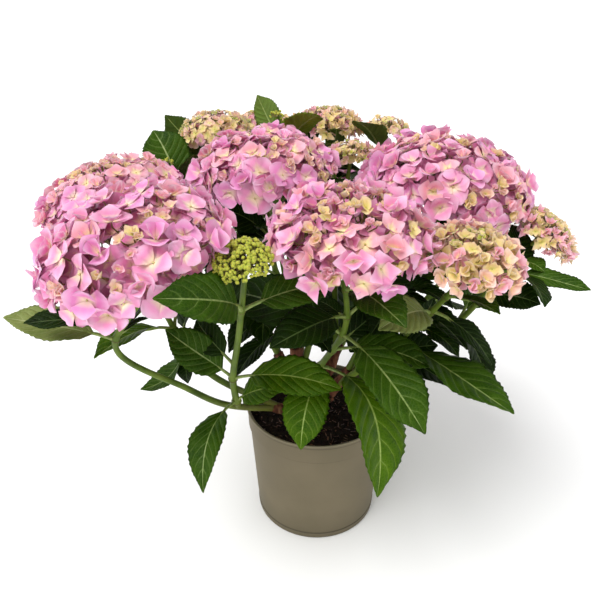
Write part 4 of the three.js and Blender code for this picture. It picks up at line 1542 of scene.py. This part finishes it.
skeleton = swept("bark_skeleton", bark_strands, ARM_SIDES, bark_finish.material)
skin = skeleton.modifiers.new("one_skin", "REMESH")
skin.mode = "VOXEL"
skin.voxel_size = BARK_VOXEL * MM
skin.use_smooth_shade = True
woody_stock = kept(skeleton, "woody_stock_bark")
stock_mesh = woody_stock.data
for vertex in stock_mesh.vertices:
    spot = vertex.co / MM
    strip = noise.noise(Vector((spot.x * 0.22, spot.y * 0.22, spot.z * 0.04)))
    fine = noise.noise(Vector((spot.x * 0.5, spot.y * 0.5, spot.z * 0.12)))
    vertex.co += vertex.normal * (strip + 0.5 * fine) * BARK_RELIEF * MM
stock_mesh.materials.clear()
stock_mesh.materials.append(bark_finish.material)
print("bark faces:", len(stock_mesh.polygons))

# %% [markdown]
# ## The pot
# A nursery pot is blown or moulded in one thin wall: a rolled lip, a collar two fingers deep that
# steps in to the wall, a slight taper and a rounded foot on a flat underside. All of it is a
# profile turned round one axis, so a short function spins a list of radii and heights.

# %% A turned profile
POT_HEIGHT = 187
RIM_RADIUS = 105
BASE_RADIUS = 91.5
POT_WALL = 2.4
POT_FLOOR = 4
COLLAR_DROP = 30
COLLAR_STEP = 1.2
LIP_DEPTH = 5
TURNED_SIDES = 128


def turned(name, profile, material):
    """A closed solid of revolution about the pot's axis. The profile starts and ends on the axis."""
    vertices = []
    rings = []
    for radius, height in profile:
        sides = 1 if radius == 0 else TURNED_SIDES
        rings.append([len(vertices) + i for i in range(sides)])
        for i in range(sides):
            angle = 2 * math.pi * i / TURNED_SIDES
            vertices.append(Vector((radius * math.cos(angle), radius * math.sin(angle), height)) * MM)
    faces = []
    for low, high in zip(rings, rings[1:]):
        for i in range(TURNED_SIDES):
            a, b = low[i % len(low)], low[(i + 1) % len(low)]
            c, d = high[(i + 1) % len(high)], high[i % len(high)]
            faces.append(tuple(dict.fromkeys((a, b, c, d))))
    return mesh_object(name, vertices, faces, [material])


def rounded(corner_radius, corner_height, radius, first, last, steps=5):
    """The points of a rounded corner of a profile, from one bearing to another in degrees."""
    angles = [math.radians(mix(first, last, i / steps)) for i in range(steps + 1)]
    return [(corner_radius + radius * math.cos(a), corner_height + radius * math.sin(a)) for a in angles]


def wall_radius(height):
    return mix(BASE_RADIUS, RIM_RADIUS, height / POT_HEIGHT)


# %% [markdown]
# ## Plastic that has been outdoors
# The plastic is a matt taupe with the faintest grain, darker and dustier near the foot, with a line
# of painted shade just below each step and a painted highlight along the top of its lip. It is one
# Principled shader: noise in the object's own space gives the mottle, and height gives the rest.

# %% Pot
FOOT_CORNER = 2.5
LIP_ROUND = 1.3
LIP_GROOVE = 1.5
LIP_INWARD = 1.4
FOOT_LINE = 11
DUST_HEIGHT = 85
# Painted highlight: the depths below the rim at which the pale band on the lip begins and is full.
LIP_HIGHLIGHT_DEPTHS = (1.6, 0.6)

pot_finish = Finish("taupe_plastic", roughness=0.6, specular_ior_level=0.25)
pot_mottle = pot_finish.noise(14, 4)
pot_grain = pot_finish.noise(900, 2)
pot_height = pot_finish.height(pot_finish.place)
dust = pot_finish.spread(pot_height + pot_mottle * 0.05, DUST_HEIGHT * MM, 0)
pot_colour = pot_finish.ramp(pot_mottle, (0.3, linear(105, 96, 74)), (0.7, linear(113, 103, 81)))
pot_colour = pot_finish.mix(dust * 0.55, pot_colour, linear(76, 71, 52))
collar = POT_HEIGHT - COLLAR_DROP
# Painted shade: a dark line just below the foot step, the collar step and the lip, where each ledge shades
# the wall beneath it.
painted_step_shadows = [
    ((line + rise) / POT_HEIGHT, (tone, tone, tone, 1))
    for line in (FOOT_LINE, collar - 1, POT_HEIGHT - LIP_DEPTH)
    for rise, tone in ((-1.8, 0), (-0.8, 1), (0.5, 1), (0.9, 0))]
step_shadow_mask = pot_finish.ramp(pot_height / (POT_HEIGHT * MM), *painted_step_shadows)
pot_colour = pot_finish.mix(step_shadow_mask * 0.7, pot_colour, linear(56, 50, 36))
# Painted highlight: the top of the lip is painted paler.
lip_highlight = pot_finish.spread(pot_height, *((POT_HEIGHT - depth) * MM for depth in LIP_HIGHLIGHT_DEPTHS))
pot_colour = pot_finish.mix(lip_highlight * 0.5, pot_colour, linear(168, 158, 134))
pot_finish.bump(pot_grain, 0.12, 0.0003)
pot_finish.vary(base_color=pot_colour, roughness=0.5 + pot_mottle * 0.15)

inner_rim = RIM_RADIUS - POT_WALL - COLLAR_STEP - LIP_INWARD
inner_floor = wall_radius(POT_FLOOR) - POT_WALL - COLLAR_STEP
pot_profile = [
    (0, 0),
    (BASE_RADIUS - FOOT_CORNER - 6, 0),
    *rounded(BASE_RADIUS - FOOT_CORNER, FOOT_CORNER, FOOT_CORNER, -90, 0),
    (wall_radius(FOOT_LINE) - 0.1, FOOT_LINE - 0.5),
    (wall_radius(FOOT_LINE) - 0.6, FOOT_LINE),
    (wall_radius(FOOT_LINE) - 0.6, FOOT_LINE + 0.6),
    (wall_radius(collar) - COLLAR_STEP - 0.9, collar - 1.4),
    (wall_radius(collar) - 0.4, collar - 0.4),
    (wall_radius(collar), collar),
    (wall_radius(POT_HEIGHT - LIP_DEPTH) - COLLAR_STEP, POT_HEIGHT - LIP_DEPTH),
    (RIM_RADIUS - 0.5, POT_HEIGHT - LIP_DEPTH + 0.4),
    *rounded(RIM_RADIUS - LIP_ROUND, POT_HEIGHT - LIP_ROUND, LIP_ROUND, 0, 130),
    (RIM_RADIUS - 2 * LIP_ROUND, POT_HEIGHT - LIP_GROOVE),
    *rounded(inner_rim + 0.8, POT_HEIGHT - LIP_GROOVE - 0.8, 0.8, 90, 180, 3),
    (inner_rim, POT_HEIGHT - LIP_DEPTH),
    (inner_rim + LIP_INWARD, POT_HEIGHT - LIP_DEPTH - 0.6),
    (inner_floor, POT_FLOOR),
    (0, POT_FLOOR),
]
pot = turned("nursery_pot", pot_profile, pot_finish.material)
edges = bmesh.new()
edges.from_mesh(pot.data)
for edge in edges.edges:
    edge.smooth = len(edge.link_faces) < 2 or edge.calc_face_angle(0) < math.radians(35)
edges.to_mesh(pot.data)
edges.free()
print("pot faces:", len(pot.data.polygons))

# %% [markdown]
# ## The compost
# Dark compost fills the pot to a finger below its rim and sinks a little at the wall. Its crumbs
# and reddish bark fibres are far too many to place by hand. A rule scatters both over the surface:
# points on the faces, a small stone or a splinter on each, and real faces at the end.

# %% Compost
COMPOST_LEVEL = 172
COMPOST_DIP = 5
COMPOST_CLEARANCE = 0.6
COMPOST_ROUGHNESS = 1.3
TOP_DEPTH = 12
FULL_TURN = 6.3
CRUMBS_A_METRE = 34000.0
FIBRES_A_METRE = 9000.0

compost_finish = Finish("dark_compost", roughness=0.95, specular_ior_level=0.15)
clods = compost_finish.noise(140, 5)
compost_finish.bump(clods, 0.9, 0.002)
compost_finish.vary(base_color=compost_finish.ramp(
    clods, (0.35, linear(16, 11, 8)), (0.6, linear(34, 24, 17)), (0.78, linear(58, 42, 30))))
fibre_finish = grainy("bark_fibre", *shades((54, 32, 22), (98, 60, 40)), 200)

reach = wall_radius(COMPOST_LEVEL) - POT_WALL - COLLAR_STEP - COMPOST_CLEARANCE
top_profile = [(reach * math.sin(math.pi / 2 * i / 12), COMPOST_LEVEL - COMPOST_DIP * (i / 12) ** 4)
               for i in range(13)]
foot_level = POT_FLOOR + COMPOST_CLEARANCE
compost_profile = [(0, foot_level), (inner_floor - COMPOST_CLEARANCE, foot_level), *reversed(top_profile)]
compost = turned("compost_ball", compost_profile, compost_finish.material)
for vertex in compost.data.vertices:
    spot = vertex.co / MM
    if spot.z > COMPOST_LEVEL - COMPOST_DIP - 1 and math.hypot(spot.x, spot.y) < reach - 1:
        vertex.co.z += noise.noise(spot * 0.12) * COMPOST_ROUGHNESS * MM

crumb_rule = Rule(
    "scatter_crumbs", Crumbs="NodeSocketFloat", Fibres="NodeSocketFloat", Earth="NodeSocketMaterial",
    Fibre="NodeSocketMaterial")
normal_up = crumb_rule.height(crumb_rule.node("GeometryNodeInputNormal"))
height_here = crumb_rule.height(crumb_rule.node("GeometryNodeInputPosition"))
on_top = (normal_up > 0.5) * (height_here > (COMPOST_LEVEL - TOP_DEPTH) * MM)


def scattered(count, seed, stone, lean, least, most, finish):
    """Stones on the top of the compost, turned any way round and leaning up to an angle."""
    spots = crumb_rule.node("GeometryNodeDistributePointsOnFaces", {
        "Mesh": crumb_rule.given.other("Geometry"), "Selection": on_top,
        "Density": crumb_rule.given.other(count), "Seed": seed})
    spin = crumb_rule.random_vector((-lean, -lean, 0), (lean, lean, FULL_TURN), seed)
    planted = crumb_rule.node("GeometryNodeInstanceOnPoints", {
        "Points": spots, "Instance": stone, "Rotation": crumb_rule.turn(spin),
        "Scale": crumb_rule.random_vector(least, most, seed + 1)})
    return crumb_rule.painted(crumb_rule.realized(planted), finish)


pebble = crumb_rule.node("GeometryNodeMeshIcoSphere", {"Radius": MM, "Subdivisions": 1})
splinter = crumb_rule.node("GeometryNodeMeshCube", {"Size": (10 * MM, 0.9 * MM, 0.5 * MM)})
crumbs = scattered("Crumbs", 3, pebble, 3, (0.8, 0.8, 0.6), (3.0, 2.2, 1.6), "Earth")
fibres = scattered("Fibres", 9, splinter, 0.35, (0.4, 0.6, 0.6), (1.5, 2.2, 1.6), "Fibre")
crumb_rule.end(crumb_rule.node("GeometryNodeJoinGeometry", {"Geometry": [crumbs, fibres]}))
compost_crumbs = grown(
    placed("crumb_base", compost.data.copy()), crumb_rule, "compost_crumbs",
    Crumbs=CRUMBS_A_METRE, Fibres=FIBRES_A_METRE, Earth=compost_finish.material, Fibre=fibre_finish)
print("crumb faces:", len(compost_crumbs.data.polygons))

# %% [markdown]
# ## The dressed pieces in place of the solids
# Every dressed piece belongs to the one body and takes the place of the solids that it covers.

# %% Bodies, replacements and slots
SLOTS = (
    ("pot_plastic", [pot], ["pot"]),
    ("compost", [compost, compost_crumbs], ["compost"]),
    ("bark", [woody_stock], ["woody_stock"]),
    ("green_stem", [stems, scars], [f"bough_{name}" for name, shoot in SHOOTS.items() if shoot.bare > 0]),
    ("foliage", [*leaf_pieces, petioles], [f"spray_{name}" for name in SHOOTS]),
    ("blossom", [*blossom_pieces, pedicels], [f"head_{name}" for name in SHOOTS]),
)
for slot, pieces, nodes in SLOTS:
    for piece in pieces:
        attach(piece, "root")
    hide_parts(*nodes)
    print(slot, "pieces:", len(pieces), "solids replaced:", len(nodes))
